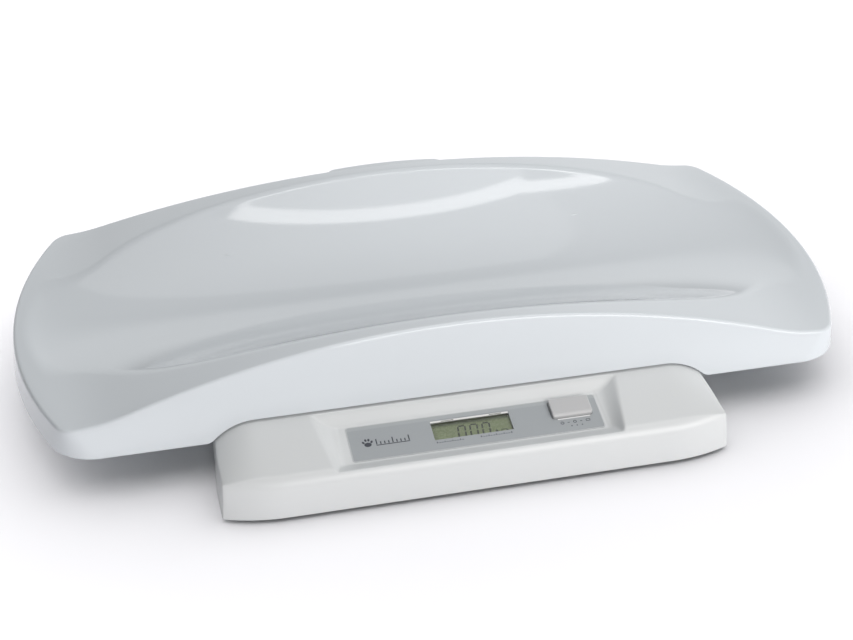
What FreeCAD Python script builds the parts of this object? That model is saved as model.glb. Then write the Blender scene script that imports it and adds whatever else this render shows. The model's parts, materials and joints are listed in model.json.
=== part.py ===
import FreeCAD, Part
import math
import os

# Low bench scale with a shallow trough tray for small animals.
# Millimetres. X runs along the tray, -Y is the side with the display, +Z is up.
# The pieces are drawn about the middle of the tray, on the surface that the scale stands on.
# They are saved about the middle of the whole footprint, which has the console in front.

V = FreeCAD.Vector
X_AXIS = V(1, 0, 0)
Z_AXIS = V(0, 0, 1)
os.makedirs("parts", exist_ok=True)

# ---------------------------------------------------------------- driving dimensions
# Tray
RIM_APEX_Z = 81.8            # rim height at the middle of the long sides
RIM_END_Z = 46.6             # rim height at the ends
RIM_ARCH_R = 746.0           # the rim falls from the middle along this arc
RIM_BLEND_R = 130.0          # and runs out level at the ends through this one
SKIRT_Z = 27.7               # bottom edge of the skirt
SKIRT_HALF_DEPTH = 125.5     # skirt at its bottom edge
SKIRT_DRAFT = 0.32           # inward lean of the long sides, per mm of height
END_R = 257.0                # each end is an arc about a point near the tray's middle
END_CENTRE_X = 20.0
END_CENTRE_Y = -7.0
END_DRAFT = 0.106
CORNER_R_LOW = 32.0          # vertical corners, at the skirt's edge and at the rim
CORNER_R_HIGH = 12.0
RIM_EDGE_R = 2.5
TROUGH_Z = 43.0              # lowest line of the trough
TROUGH_CURVE = 0.00409       # section: height = curve * y^2 at mid length
TROUGH_HALF_LENGTH = 266.0
TROUGH_FLAT_X = 254.0        # the section's curve fades out towards here
TROUGH_MIN_CURVE = 0.00065
TROUGH_END_RISE = 3.6
TROUGH_END_POWER = 14
TRAY_WALL = 3.0
TRAY_WALL_VERTICAL = 3.3
GRIP_HALF_WIDTH = 43.0       # ledge behind the rear rim
GRIP_CORNER_R = 6.0
GRIP_Y = 126.0
GRIP_TOP_Z = 74.2
GRIP_THICK = 7.6
GRIP_ARCH_R = 450.0          # arch of the ledge's top along X
GRIP_ROOT_Y = 96.0
SPIGOT_X = 125.0
SPIGOT_Y = 62.0
SPIGOT_R = 8.0
PIN_R = 3.4
RIB = 2.0

# Base housing
FOOT_H = 3.0                 # the rubber feet stand this far proud
FOOT_R = 9.0
FRONT_Y = -176.0
FRONT_STRAIGHT_X = 122.0
FRONT_ARC_R = 108.0
SIDE_LEAN = 0.065            # the base's sides lean in as they rise, per mm
FRONT_LEAN = 0.12
SIDE_X = 161.0
SIDE_BREAK_Y = -140.0
REAR_X = 147.0
REAR_Y = 88.0
REAR_CORNER_R = 25.0
GAP_Y = -122.0               # the console disappears under the tray here
CONSOLE_TOP_Z = 37.2
CONSOLE_SLOPE = 0.18
PLATEAU_REAR_Y = -96.0
DECK_Z = 28.0
SHOULDER_X = 133.0           # the console's top is level up to here and then falls
SHOULDER_R = 41.9
SHOULDER_FRONT_Y = -186.0
NOSE_R = 9.0
HOUSING_WALL = 2.5
TRAY_GAP = 1.5               # slot between console and tray
COVER_Z = 3.2
COVER_TOP_Z = 5.7
COVER_CLEARANCE = 0.3

# Sloping control panel: u = X, v up the slope, w outward
PANEL_Y = -158.8
PANEL_Z = 23.6
PANEL_SLOPE_DEG = 12.14
PANEL_HALF_U = 84.0
PANEL_TOP_V = 29.5
PANEL_LOW_V = -1.0
RIDGE_LOW_U = 90.5
RIDGE_TOP_U = 98.5
LIP_Y = -172.0                # the recess runs up to the console's front edge
PANEL_WALL = 2.0
LABEL_LEFT_U = -78.5
LABEL_RIGHT_U = 82.5
LABEL_V0 = 0.3
LABEL_V1 = 28.5
LABEL_THICK = 0.25
LABEL_CORNER_R = 2.0
WINDOW_U = -0.3
WINDOW_V = 16.65
WINDOW_W = 50.5
WINDOW_H = 15.5
GLASS_DEPTH = 2.85
BOARD_W = -8.0
BOARD_THICK = 1.6
BUTTON_U = 64.2
BUTTON_V = 19.5
BUTTON_L = 26.0
BUTTON_D = 14.2
BUTTON_PROUD = 3.0
BUTTON_TRAVEL = 1.0
BUTTON_CLEARANCE = 0.3

# Weighing mechanism
CELL_L = 80.0
CELL_SIDE = 12.7
CELL_Z = 10.0
CELL_HOLES = (20.0, 35.0)    # screw positions from the middle, at each end
PLATE_Z = COVER_TOP_Z
PLATE_THICK = 2.0
CARRIER_Z = 31.0
CARRIER_THICK = 2.5
BUSH_TOP_Z = 36.5
TRAVEL = 0.8                 # full-load sink of the tray

# Battery box
BATTERY_R = 7.2
BATTERY_LENGTH = 50.5
BATTERY_Z = 14.6
BATTERY_ROWS_Y = (-111.5, -96.9)
BOX_HALF_X = 56.0
BOX_WALL = 1.6
CONTACT_THICK = 0.5
CONTACT_CLEARANCE = 0.05
BOX_Y0 = -120.6
BOX_Y1 = -87.8
BOX_TOP_Z = 23.8
DOOR_THICK = 2.0
DOOR_HALF_X = 53.5
DOOR_Y0 = -119.6
HINGE_Y = -89.2
HINGE_Z = 5.2
HINGE_BARREL_R = 2.0
HINGE_PIN_R = 1.3

TRAY_MIDDLE = V(0, -(FRONT_Y + GRIP_Y) / 2.0, 0)


# ---------------------------------------------------------------- helpers
def box(x0, x1, y0, y1, z0, z1):
    return Part.makeBox(x1 - x0, y1 - y0, z1 - z0, V(x0, y0, z0))


def post(x, y, z0, z1, radius):
    return Part.makeCylinder(radius, z1 - z0, V(x, y, z0), Z_AXIS)


def bar_x(x0, x1, y, z, radius):
    return Part.makeCylinder(radius, x1 - x0, V(x0, y, z), X_AXIS)


def fuse(shapes):
    joined = shapes[0].multiFuse(shapes[1:]) if len(shapes) > 1 else shapes[0]
    return joined.removeSplitter()


def rounded_box(x0, x1, y0, y1, z0, z1, radius):
    block = box(x0, x1, y0, y1, z0, z1)
    upright = [e for e in block.Edges if abs(e.tangentAt(e.FirstParameter).z) > 0.9]
    return block.makeFillet(radius, upright)


def group(shapes):
    return Part.makeCompound(shapes)


def on_panel(shape):
    tilt = FreeCAD.Placement(V(0, PANEL_Y, PANEL_Z), FreeCAD.Rotation(X_AXIS, PANEL_SLOPE_DEG))
    placed = shape.copy()
    placed.Placement = tilt.multiply(placed.Placement)
    return placed


def panel_point(u, v, w):
    turn = FreeCAD.Rotation(X_AXIS, PANEL_SLOPE_DEG)
    return V(0, PANEL_Y, PANEL_Z) + turn.multVec(V(u, v, w))


def prism_x(points, x0, x1):
    wire = Part.makePolygon([V(x0, y, z) for y, z in points] + [V(x0, *points[0])])
    return Part.Face(wire).extrude(V(x1 - x0, 0, 0))


def save(node, shape):
    shape = shape.copy()
    shape.translate(TRAY_MIDDLE)
    for solid in shape.Solids:
        if not solid.isValid():
            print("INVALID", node)
    shape.exportStep("parts/%s.step" % node)
    print("%-24s %2d solids %9.1f mm3" % (node, len(shape.Solids), shape.Volume))


# ---------------------------------------------------------------- tray
def rim_cap():
    """Everything below the rim's arched top line."""
    arch_z = RIM_APEX_Z - RIM_ARCH_R
    rise = RIM_END_Z + RIM_BLEND_R - arch_z
    level_x = math.sqrt((RIM_ARCH_R + RIM_BLEND_R) ** 2 - rise ** 2)
    share = RIM_ARCH_R / (RIM_ARCH_R + RIM_BLEND_R)
    arch_x = level_x * share
    arch_end_z = arch_z + rise * share
    half = 300.0
    y0 = -150.0

    def at(x, z):
        return V(x, y0, z)

    def blend_mid(side):
        angle = math.atan2(level_x, rise) / 2.0
        return at(side * (level_x - RIM_BLEND_R * math.sin(angle)),
                  RIM_END_Z + RIM_BLEND_R * (1 - math.cos(angle)))

    edges = [
        Part.makeLine(at(-half, 0), at(half, 0)),
        Part.makeLine(at(half, 0), at(half, RIM_END_Z)),
        Part.makeLine(at(half, RIM_END_Z), at(level_x, RIM_END_Z)),
        Part.Arc(at(level_x, RIM_END_Z), blend_mid(1), at(arch_x, arch_end_z)).toShape(),
        Part.Arc(at(arch_x, arch_end_z), at(0, RIM_APEX_Z), at(-arch_x, arch_end_z)).toShape(),
        Part.Arc(at(-arch_x, arch_end_z), blend_mid(-1), at(-level_x, RIM_END_Z)).toShape(),
        Part.makeLine(at(-level_x, RIM_END_Z), at(-half, RIM_END_Z)),
        Part.makeLine(at(-half, RIM_END_Z), at(-half, 0)),
    ]
    return Part.Face(Part.Wire(edges)).extrude(V(0, -2 * y0, 0))


def tray_block(inset, z0, corner_low, corner_high):
    """The tray's outer form, pulled in by a wall and standing on the plane z0."""
    top = 100.0

    def half_depth(z):
        return SKIRT_HALF_DEPTH - SKIRT_DRAFT * (z - SKIRT_Z) - inset

    sides = prism_x([(-half_depth(z0), z0), (half_depth(z0), z0),
                     (half_depth(top), top), (-half_depth(top), top)], -300.0, 300.0)
    cap = rim_cap()
    cap.translate(V(0, 0, -inset))
    block = sides.common(cap)
    for side in (-1, 1):
        end = Part.makeCone(END_R - inset - END_DRAFT * (z0 - SKIRT_Z),
                            END_R - inset - END_DRAFT * (top - SKIRT_Z), top - z0,
                            V(side * END_CENTRE_X, END_CENTRE_Y, z0))
        x0, x1 = sorted((side * 150.0, side * 320.0))
        block = block.cut(box(x0, x1, -200, 200, z0, top).cut(end))
    corners = []
    for edge in block.Edges:
        low, high = sorted((v.Point for v in edge.Vertexes), key=lambda p: p.z)
        if abs(low.x) > 200 and abs(low.y) > 100 and high.z - low.z > 10:
            corners.append(edge)
    return block.makeFillet(corner_low, corner_high, corners)


def trough_height(x, y):
    fade = 1.0 - (x / TROUGH_FLAT_X) ** 2
    curve = TROUGH_MIN_CURVE + (TROUGH_CURVE - TROUGH_MIN_CURVE) * max(fade, 0.0)
    end_rise = TROUGH_END_RISE * (abs(x) / TROUGH_HALF_LENGTH) ** TROUGH_END_POWER
    return TROUGH_Z + curve * y * y + end_rise


def trough_sheet(drop):
    """The trough's surface, laid through cross sections along the tray."""
    columns = [-290 + 20.0 * i for i in range(30)]
    rows = [-130 + 13.0 * j for j in range(21)]
    grid = [[V(x, y, trough_height(x, y) - drop) for y in rows] for x in columns]
    surface = Part.BSplineSurface()
    surface.interpolate(grid)
    return surface.toShape()


def console_passage():
    """The notch in the tray's front skirt that the console passes through."""
    top = CONSOLE_TOP_Z + TRAY_GAP
    low_x = SIDE_X - SIDE_LEAN * (SKIRT_Z - FOOT_H) + TRAY_GAP
    reach = low_x - SHOULDER_X
    drop = top - SKIRT_Z
    radius = (reach ** 2 + drop ** 2) / (2.0 * drop)
    half_angle = math.asin(reach / radius) / 2.0
    mid_x = SHOULDER_X + radius * math.sin(half_angle)
    mid_z = top - radius * (1 - math.cos(half_angle))
    y0 = -140.0

    def at(x, z):
        return V(x, y0, z)

    edges = [
        Part.Arc(at(-low_x, SKIRT_Z), at(-mid_x, mid_z), at(-SHOULDER_X, top)).toShape(),
        Part.makeLine(at(-SHOULDER_X, top), at(SHOULDER_X, top)),
        Part.Arc(at(SHOULDER_X, top), at(mid_x, mid_z), at(low_x, SKIRT_Z)).toShape(),
        Part.makeLine(at(low_x, SKIRT_Z), at(low_x, 0)),
        Part.makeLine(at(low_x, 0), at(-low_x, 0)),
        Part.makeLine(at(-low_x, 0), at(-low_x, SKIRT_Z)),
    ]
    return Part.Face(Part.Wire(edges)).extrude(V(0, 40, 0))


def rear_grip():
    """Ledge behind the rear rim, its top arched like the rim."""
    plate = rounded_box(-GRIP_HALF_WIDTH, GRIP_HALF_WIDTH, GRIP_ROOT_Y, GRIP_Y,
                        GRIP_TOP_Z - GRIP_THICK, GRIP_TOP_Z, GRIP_CORNER_R)
    arch_start = V(0, GRIP_ROOT_Y - 1, GRIP_TOP_Z - GRIP_ARCH_R)
    arch = Part.makeCylinder(GRIP_ARCH_R, GRIP_Y - GRIP_ROOT_Y + 2, arch_start, V(0, 1, 0))
    return plate.common(arch).cut(tray_block(TRAY_WALL / 2.0, SKIRT_Z, 20.0, 10.0))


def tray():
    block = tray_block(0.0, SKIRT_Z, CORNER_R_LOW, CORNER_R_HIGH)
    rim = [e for e in block.Edges if min(v.Z for v in e.Vertexes) > RIM_END_Z - 0.5]
    block = block.makeFillet(RIM_EDGE_R, rim)
    above = trough_sheet(0.0).extrude(V(0, 0, 120))
    below = trough_sheet(TRAY_WALL_VERTICAL).extrude(V(0, 0, -120))
    hollow = tray_block(TRAY_WALL, SKIRT_Z - 5.0, CORNER_R_LOW - TRAY_WALL, CORNER_R_HIGH)
    shell = block.cut(above).cut(hollow.common(below))
    web = trough_sheet(TRAY_WALL_VERTICAL / 2.0).extrude(V(0, 0, -120))
    ribs = []
    for side in (-1, 1):
        y = side * SPIGOT_Y
        x = side * SPIGOT_X
        ribs.append(box(-SPIGOT_X, SPIGOT_X, y - RIB / 2, y + RIB / 2, BUSH_TOP_Z + 1.5, 70))
        ribs.append(box(x - RIB / 2, x + RIB / 2, -SPIGOT_Y, SPIGOT_Y, BUSH_TOP_Z + 1.5, 70))
        for other in (-1, 1):
            ribs.append(post(x, other * SPIGOT_Y, BUSH_TOP_Z, 70, SPIGOT_R))
    ribs = fuse(ribs).common(web)
    pins = [post(sx * SPIGOT_X, sy * SPIGOT_Y, CARRIER_Z + 1.0, BUSH_TOP_Z + 2.0, PIN_R)
            for sx in (-1, 1) for sy in (-1, 1)]
    whole = fuse([shell, ribs, rear_grip()] + pins)
    return whole.cut(console_passage())


# ---------------------------------------------------------------- base housing
def base_plan(inset, z):
    """The base's outline at height z; its front and sides lean inwards as they rise."""
    front = FRONT_Y + inset + FRONT_LEAN * (z - FOOT_H)
    radius = FRONT_ARC_R - inset
    side = SIDE_X - inset - SIDE_LEAN * (z - FOOT_H)
    rear = REAR_Y - inset
    rear_x = REAR_X - inset
    turn = math.asin((side - FRONT_STRAIGHT_X) / radius)
    corner_y = front + radius * (1 - math.cos(turn))
    mid = V(FRONT_STRAIGHT_X + radius * math.sin(turn / 2),
            front + radius * (1 - math.cos(turn / 2)), z)
    r = REAR_CORNER_R
    arc_mid = V(rear_x - r * (1 - math.sqrt(0.5)), rear - r * (1 - math.sqrt(0.5)), z)
    half = [
        Part.Arc(V(FRONT_STRAIGHT_X, front, z), mid, V(side, corner_y, z)).toShape(),
        Part.makeLine(V(side, corner_y, z), V(side, SIDE_BREAK_Y, z)),
        Part.makeLine(V(side, SIDE_BREAK_Y, z), V(rear_x, rear - r, z)),
        Part.Arc(V(rear_x, rear - r, z), arc_mid, V(rear_x - r, rear, z)).toShape(),
    ]
    mirrored = [edge.mirror(V(0, 0, 0), X_AXIS) for edge in reversed(half)]
    edges = half + [Part.makeLine(V(rear_x - r, rear, z), V(r - rear_x, rear, z))]
    edges += mirrored
    edges += [Part.makeLine(V(-FRONT_STRAIGHT_X, front, z), V(FRONT_STRAIGHT_X, front, z))]
    return Part.Wire(edges)


def shoulder_cutter(side, inset):
    """Rounds the console's top down towards its end, more and more towards the tray."""
    centre_z = CONSOLE_TOP_Z - SHOULDER_R
    radius = SHOULDER_R - inset
    outer_x = SIDE_X + 6.0
    front_z = CONSOLE_TOP_Z + CONSOLE_SLOPE * (SHOULDER_FRONT_Y - GAP_Y) - inset

    def arc_point(x):
        return centre_z + math.sqrt(radius ** 2 - (x - SHOULDER_X) ** 2)

    def closed(first, y, z0, z1):
        points = [V(side * outer_x, y, z1), V(side * outer_x, y, 70), V(side * SHOULDER_X, y, 70),
                  V(side * SHOULDER_X, y, z0)]
        return Part.Wire([first] + [Part.makeLine(a, b) for a, b in zip(points, points[1:])])

    mid_x = (SHOULDER_X + outer_x) / 2.0
    low = arc_point(outer_x)
    arc = Part.Arc(V(side * SHOULDER_X, GAP_Y, centre_z + radius),
                   V(side * mid_x, GAP_Y, arc_point(mid_x)),
                   V(side * outer_x, GAP_Y, low)).toShape()
    line = Part.makeLine(V(side * SHOULDER_X, SHOULDER_FRONT_Y, front_z),
                         V(side * outer_x, SHOULDER_FRONT_Y, front_z))
    at_tray = closed(arc, GAP_Y, centre_z + radius, low)
    at_front = closed(line, SHOULDER_FRONT_Y, front_z, front_z)
    taper = Part.makeLoft([at_front, at_tray], True, True)
    behind = Part.Face(at_tray).extrude(V(0, 60, 0))
    return taper.fuse(behind)


def housing_block(inset, z0):
    """Base and console as one closed form, pulled in by a wall."""
    top = 50.0
    body = Part.makeLoft([base_plan(inset, z0), base_plan(inset, top)], True, True)
    front_z = CONSOLE_TOP_Z + CONSOLE_SLOPE * (-200.0 - GAP_Y)
    roof = prism_x([(-200.0, z0 - 1), (-200.0, front_z - inset), (GAP_Y, CONSOLE_TOP_Z - inset),
                    (PLATEAU_REAR_Y - inset, CONSOLE_TOP_Z - inset),
                    (PLATEAU_REAR_Y + 4.0 - inset, DECK_Z - inset),
                    (100.0, DECK_Z - inset), (100.0, z0 - 1)], -200.0, 200.0)
    block = body.common(roof)
    nose = []
    for edge in block.Edges:
        middle = edge.valueAt((edge.FirstParameter + edge.LastParameter) / 2.0)
        if middle.y < -160 and middle.z > z0 + 5:
            a, b = (v.Point for v in edge.Vertexes)
            if abs(a.x - b.x) > 10:
                nose.append(edge)
    block = block.makeFillet(NOSE_R - inset, nose)
    for side in (-1, 1):
        block = block.cut(shoulder_cutter(side, inset))
    return block


def panel_outline(half_low, half_top, v0, v1, w):
    """Four-sided outline round the panel, in panel coordinates."""
    corners = [(-half_low, v0), (half_low, v0), (half_top, v1), (-half_top, v1)]
    points = [panel_point(u, v, w) for u, v in corners]
    return Part.makePolygon(points + points[:1])


def top_point(x, y):
    """A point on the console's sloping top."""
    return V(x, y, CONSOLE_TOP_Z + CONSOLE_SLOPE * (y - GAP_Y))


def panel_recess(grow):
    """The dished recess that holds the panel; grow makes it larger for the wall beneath."""
    floor = panel_outline(PANEL_HALF_U + grow, PANEL_HALF_U + grow,
                          PANEL_LOW_V - grow, PANEL_TOP_V + grow, -LABEL_THICK - grow)
    low_y = LIP_Y - grow
    high_y = GAP_Y - 1.2 + grow
    ridge = [top_point(-RIDGE_LOW_U - grow, low_y), top_point(RIDGE_LOW_U + grow, low_y),
             top_point(RIDGE_TOP_U + grow, high_y), top_point(-RIDGE_TOP_U - grow, high_y)]
    ridge_wire = Part.makePolygon(ridge + ridge[:1])
    dish = Part.makeLoft([floor, ridge_wire], True, True)
    return dish.fuse(Part.Face(ridge_wire).extrude(V(0, 0, 20)))


def panel_openings():
    """Holes through the panel for the display and the button."""
    u0, v0 = WINDOW_U - WINDOW_W / 2 - 1.85, WINDOW_V - WINDOW_H / 2 - 1.85
    display = box(u0, u0 + WINDOW_W + 3.7, v0, v0 + WINDOW_H + 3.7, -12, 3)
    b0 = BUTTON_U - BUTTON_L / 2 - BUTTON_CLEARANCE
    c0 = BUTTON_V - BUTTON_D / 2 - BUTTON_CLEARANCE
    button = rounded_box(b0, b0 + BUTTON_L + 2 * BUTTON_CLEARANCE,
                         c0, c0 + BUTTON_D + 2 * BUTTON_CLEARANCE, -12, 3, 1.8)
    return on_panel(display.fuse(button))


HOUSING_SCREWS = ((-149, -128), (149, -128), (-143, -30), (143, -30), (-112, 76), (112, 76))
BOARD_SCREWS = ((-56.0, 4.5), (-56.0, 26.5), (38.0, 4.5), (38.0, 26.5))
FEET = ((-138.0, -152.0), (138.0, -152.0), (-124.0, 66.0), (124.0, 66.0))
PLATE_SCREWS = ((-66.0, -26.0), (66.0, -26.0), (-66.0, 26.0), (66.0, 26.0))


def console_housing():
    outer = housing_block(0.0, FOOT_H)
    inner = housing_block(HOUSING_WALL, FOOT_H - 5.0)
    inner = inner.cut(panel_recess(PANEL_WALL))
    shell = outer.cut(panel_recess(0.0)).cut(inner)
    extras = []
    for x, y in HOUSING_SCREWS:
        boss = post(x, y, COVER_TOP_Z + 0.1, 60, 4.0).common(outer)
        extras.append(boss.cut(panel_recess(0.0)))
    for u, v in BOARD_SCREWS:
        extras.append(on_panel(post(u, v, BOARD_W + 0.05, -LABEL_THICK - 1.0, 2.6)))
    shell = fuse([shell] + extras)
    shell = shell.cut(panel_openings())
    for x, y in HOUSING_SCREWS:
        shell = shell.cut(post(x, y, 0, DECK_Z - HOUSING_WALL - 4.0, 1.3))
    for u, v in BOARD_SCREWS:
        shell = shell.cut(on_panel(post(u, v, BOARD_W - 1, -LABEL_THICK - 1.6, 1.05)))
    passage = rounded_box(11.0, 44.0, -11.0, 11.0, 20.0, 35.0, 4.0)
    return shell.cut(passage)


def cover_plan(z):
    return base_plan(HOUSING_WALL + COVER_CLEARANCE + 0.6, z)


def bottom_cover():
    plate = Part.Face(cover_plan(COVER_Z)).extrude(V(0, 0, COVER_TOP_Z - COVER_Z))
    opening = box(-DOOR_HALF_X, DOOR_HALF_X, DOOR_Y0, HINGE_Y + HINGE_BARREL_R + 0.4, 0, 10)
    parts = [plate.cut(opening)]
    for side in (-1, 1):
        x0, x1 = sorted((side * DOOR_HALF_X, side * (DOOR_HALF_X + 4.0)))
        parts.append(box(x0, x1, HINGE_Y - 3.2, HINGE_Y + 3.2, COVER_Z, HINGE_Z + 3.2))
    cover = fuse(parts)
    for side in (-1, 1):
        x0, x1 = sorted((side * (DOOR_HALF_X - 1), side * (DOOR_HALF_X + 3.2)))
        cover = cover.cut(bar_x(x0, x1, HINGE_Y, HINGE_Z, HINGE_PIN_R + 0.05))
    for x, y in FEET:
        cover = cover.cut(post(x, y, 0, COVER_Z + 1.0, FOOT_R + 0.2))
    for x, y in HOUSING_SCREWS:
        cover = cover.cut(post(x, y, 0, COVER_Z + 1.3, 3.1)).cut(post(x, y, 0, 10, 1.6))
    for x, y in PLATE_SCREWS:
        cover = cover.cut(post(x, y, 0, COVER_Z + 1.3, 4.0)).cut(post(x, y, 0, 10, 2.1))
    for x in CELL_HOLES:
        cover = cover.cut(post(-x, 0, COVER_Z + 0.9, 10, 3.8))
    return cover


def foot(x, y):
    disc = post(x, y, 0, COVER_Z + 1.0, FOOT_R)
    rim = [e for e in disc.Edges if e.Length > 1 and e.BoundBox.ZMax < 0.1]
    return disc.makeFillet(0.8, rim)


def pan_head_screw(x, y, z_head, z_tip, head_r, shank_r, head_h, down):
    """Screw along Z with its head at z_head; down is -1 when the head is below."""
    head = post(x, y, min(z_head, z_head + down * head_h), max(z_head, z_head + down * head_h), head_r)
    slot_z = z_head + down * head_h
    shank = post(x, y, min(z_head, z_tip), max(z_head, z_tip), shank_r)
    arm = 0.55 * head_r
    cut_depth = 0.5 * head_h
    z0, z1 = sorted((slot_z, slot_z - down * cut_depth))
    cross = box(x - arm, x + arm, y - 0.3, y + 0.3, z0, z1)
    cross = cross.fuse(box(x - 0.3, x + 0.3, y - arm, y + arm, z0, z1))
    return head.fuse(shank).cut(cross)


def housing_screws():
    return group([pan_head_screw(x, y, COVER_Z + 1.3, DECK_Z - HOUSING_WALL - 6.0, 2.8, 1.25, 1.2, -1)
                  for x, y in HOUSING_SCREWS])


# ---------------------------------------------------------------- panel
def fascia_label():
    foil = rounded_box(LABEL_LEFT_U, LABEL_RIGHT_U, LABEL_V0, LABEL_V1,
                       -LABEL_THICK, 0, LABEL_CORNER_R)
    window = box(WINDOW_U - WINDOW_W / 2, WINDOW_U + WINDOW_W / 2,
                 WINDOW_V - WINDOW_H / 2, WINDOW_V + WINDOW_H / 2, -1, 1)
    b0 = BUTTON_U - BUTTON_L / 2 - BUTTON_CLEARANCE
    c0 = BUTTON_V - BUTTON_D / 2 - BUTTON_CLEARANCE
    hole = rounded_box(b0, b0 + BUTTON_L + 2 * BUTTON_CLEARANCE,
                       c0, c0 + BUTTON_D + 2 * BUTTON_CLEARANCE, -1, 1, 1.8)
    return on_panel(foil.cut(window).cut(hole))


def window_ring(margin, w0, w1):
    half_u = WINDOW_W / 2 + margin
    half_v = WINDOW_H / 2 + margin
    return box(WINDOW_U - half_u, WINDOW_U + half_u, WINDOW_V - half_v, WINDOW_V + half_v, w0, w1)


def display_window():
    return on_panel(window_ring(1.75, -LABEL_THICK - 1.0, -LABEL_THICK))


def display_bezel():
    """White frame: a sleeve in the panel's opening and a box behind it for the glass."""
    web_w = -LABEL_THICK - PANEL_WALL - 0.05
    sleeve = window_ring(1.75, -GLASS_DEPTH, -LABEL_THICK - 1.05)
    carrier = window_ring(4.8, -6.0, web_w)
    frame = sleeve.fuse(carrier).cut(window_ring(0.0, -9, 1))
    frame = frame.cut(window_ring(3.2, -9, -GLASS_DEPTH)).removeSplitter()
    for u0, u1 in ((-14.5, -7.5), (10.0, 17.0)):
        wall_v = WINDOW_V + WINDOW_H / 2
        frame = frame.cut(box(u0, u1, wall_v - 1, wall_v + 1, -2.2, -1.75))
    return on_panel(frame)


def display_glass():
    return on_panel(window_ring(3.0, -GLASS_DEPTH - 2.0, -GLASS_DEPTH))


def display_reflector():
    return on_panel(window_ring(1.0, -GLASS_DEPTH - 2.4, -GLASS_DEPTH - 2.0))


def contact_strips():
    """Two rubber connector strips between the display glass and the board."""
    strips = []
    for side in (-1, 1):
        v = WINDOW_V + side * (WINDOW_H / 2 + 2.0)
        strips.append(box(WINDOW_U - 24, WINDOW_U + 24, v - 0.9, v + 0.9, BOARD_W, -GLASS_DEPTH - 2.0))
    return on_panel(group(strips))


def circuit_board():
    board = box(-60.0, 79.0, 1.6, 30.4, BOARD_W - BOARD_THICK, BOARD_W)
    for u, v in BOARD_SCREWS:
        board = board.cut(post(u, v, -20, 0, 1.25))
    return on_panel(board)


def board_screws():
    screws = []
    for u, v in BOARD_SCREWS:
        screws.append(pan_head_screw(u, v, BOARD_W - BOARD_THICK, -LABEL_THICK - 2.4, 2.2, 1.0, 1.3, -1))
    return on_panel(group(screws))


def board_chips():
    """Controller, converter and smaller parts on the board's underside."""
    low = BOARD_W - BOARD_THICK
    sizes = [(-20, 12, 12, 12, 1.6), (4, 20, 9, 6, 1.5), (20, 12, 5, 4, 1.2), (48, 10, 6, 5, 2.0),
             (66, 12, 4, 8, 2.2), (-42, 24, 5, 3, 1.1)]
    return on_panel(group([box(u, u + l, v, v + d, low - h, low) for u, v, l, d, h in sizes]))


def cable_sockets():
    """Plug sockets for the load cell and the battery wires."""
    low = BOARD_W - BOARD_THICK
    return on_panel(group([box(-50, -40, 8, 14, low - 4.5, low), box(-50, -43, 16, 21, low - 4.5, low)]))


def button_cap():
    l2 = BUTTON_L / 2
    d2 = BUTTON_D / 2
    cap = rounded_box(-l2, l2, -d2, d2, -2.0, BUTTON_PROUD, 1.5)
    top = [e for e in cap.Edges if e.BoundBox.ZMin > BUTTON_PROUD - 0.01]
    cap = cap.makeFillet(0.7, top)
    flange = box(-l2 - 1.2, l2 + 1.2, -d2 - 1.0, d2 + 1.0, -3.2, -2.4)
    neck = box(-l2 + 0.6, l2 - 0.6, -d2 + 0.6, d2 - 0.6, -3.0, -1.0)
    hollow = box(-l2 + 1.8, l2 - 1.8, -d2 + 1.8, d2 - 1.8, -5.0, BUTTON_PROUD - 1.8)
    stem = post(0, 0, -3.0, BUTTON_PROUD - 1.0, 2.2)
    cap = cap.fuse(neck).fuse(flange).cut(hollow).fuse(stem)
    cap.translate(V(BUTTON_U, BUTTON_V, 0))
    return on_panel(cap)


def switch_housing():
    body = box(-3.0, 3.0, -3.0, 3.0, BOARD_W, -4.5)
    body = body.cut(post(0, 0, -7.4, -4.0, 1.8))
    body.translate(V(BUTTON_U, BUTTON_V, 0))
    return on_panel(body)


def switch_plunger():
    plunger = post(0, 0, -6.2, -3.0, 1.7)
    plunger.translate(V(BUTTON_U, BUTTON_V, 0))
    return on_panel(plunger)


# ---------------------------------------------------------------- weighing mechanism
def mount_plate():
    plate = rounded_box(-76, 76, -34, 34, PLATE_Z, PLATE_Z + PLATE_THICK, 6.0)
    for x, y in PLATE_SCREWS:
        plate = plate.cut(post(x, y, 0, 20, 2.05))
    for x in CELL_HOLES:
        plate = plate.cut(post(-x, 0, 0, 20, 2.1))
    return plate.cut(post(33.0, 0, 0, 20, 2.05))


def mount_plate_screws():
    return group([pan_head_screw(x, y, COVER_Z + 1.3, PLATE_Z + PLATE_THICK + 1.0, 3.8, 1.95, 1.2, -1)
                  for x, y in PLATE_SCREWS])


def lower_spacer():
    half = CELL_SIDE / 2
    block = box(-CELL_L / 2, -13.0, -half, half, PLATE_Z + PLATE_THICK, CELL_Z)
    for x in CELL_HOLES:
        block = block.cut(post(-x, 0, 0, 20, 2.1))
    return block


def load_cell():
    """Aluminium bending beam with a dumbbell-shaped hole through its middle."""
    half = CELL_SIDE / 2
    beam = box(-CELL_L / 2, CELL_L / 2, -half, half, CELL_Z, CELL_Z + CELL_SIDE)
    mid_z = CELL_Z + half
    for x in (-7.0, 7.0):
        beam = beam.cut(Part.makeCylinder(5.2, CELL_SIDE + 2, V(x, -half - 1, mid_z), V(0, 1, 0)))
    beam = beam.cut(box(-7, 7, -half - 1, half + 1, mid_z - 2.0, mid_z + 2.0))
    for x in CELL_HOLES:
        beam = beam.cut(post(-x, 0, 0, 60, 2.1)).cut(post(x, 0, 0, 60, 2.1))
    return beam


def gauge_coating():
    """White silicone over the strain gauges, on the top of the beam."""
    top = CELL_Z + CELL_SIDE
    return rounded_box(-11.5, 11.5, -5.6, 5.6, top, top + 1.4, 2.0)


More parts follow.
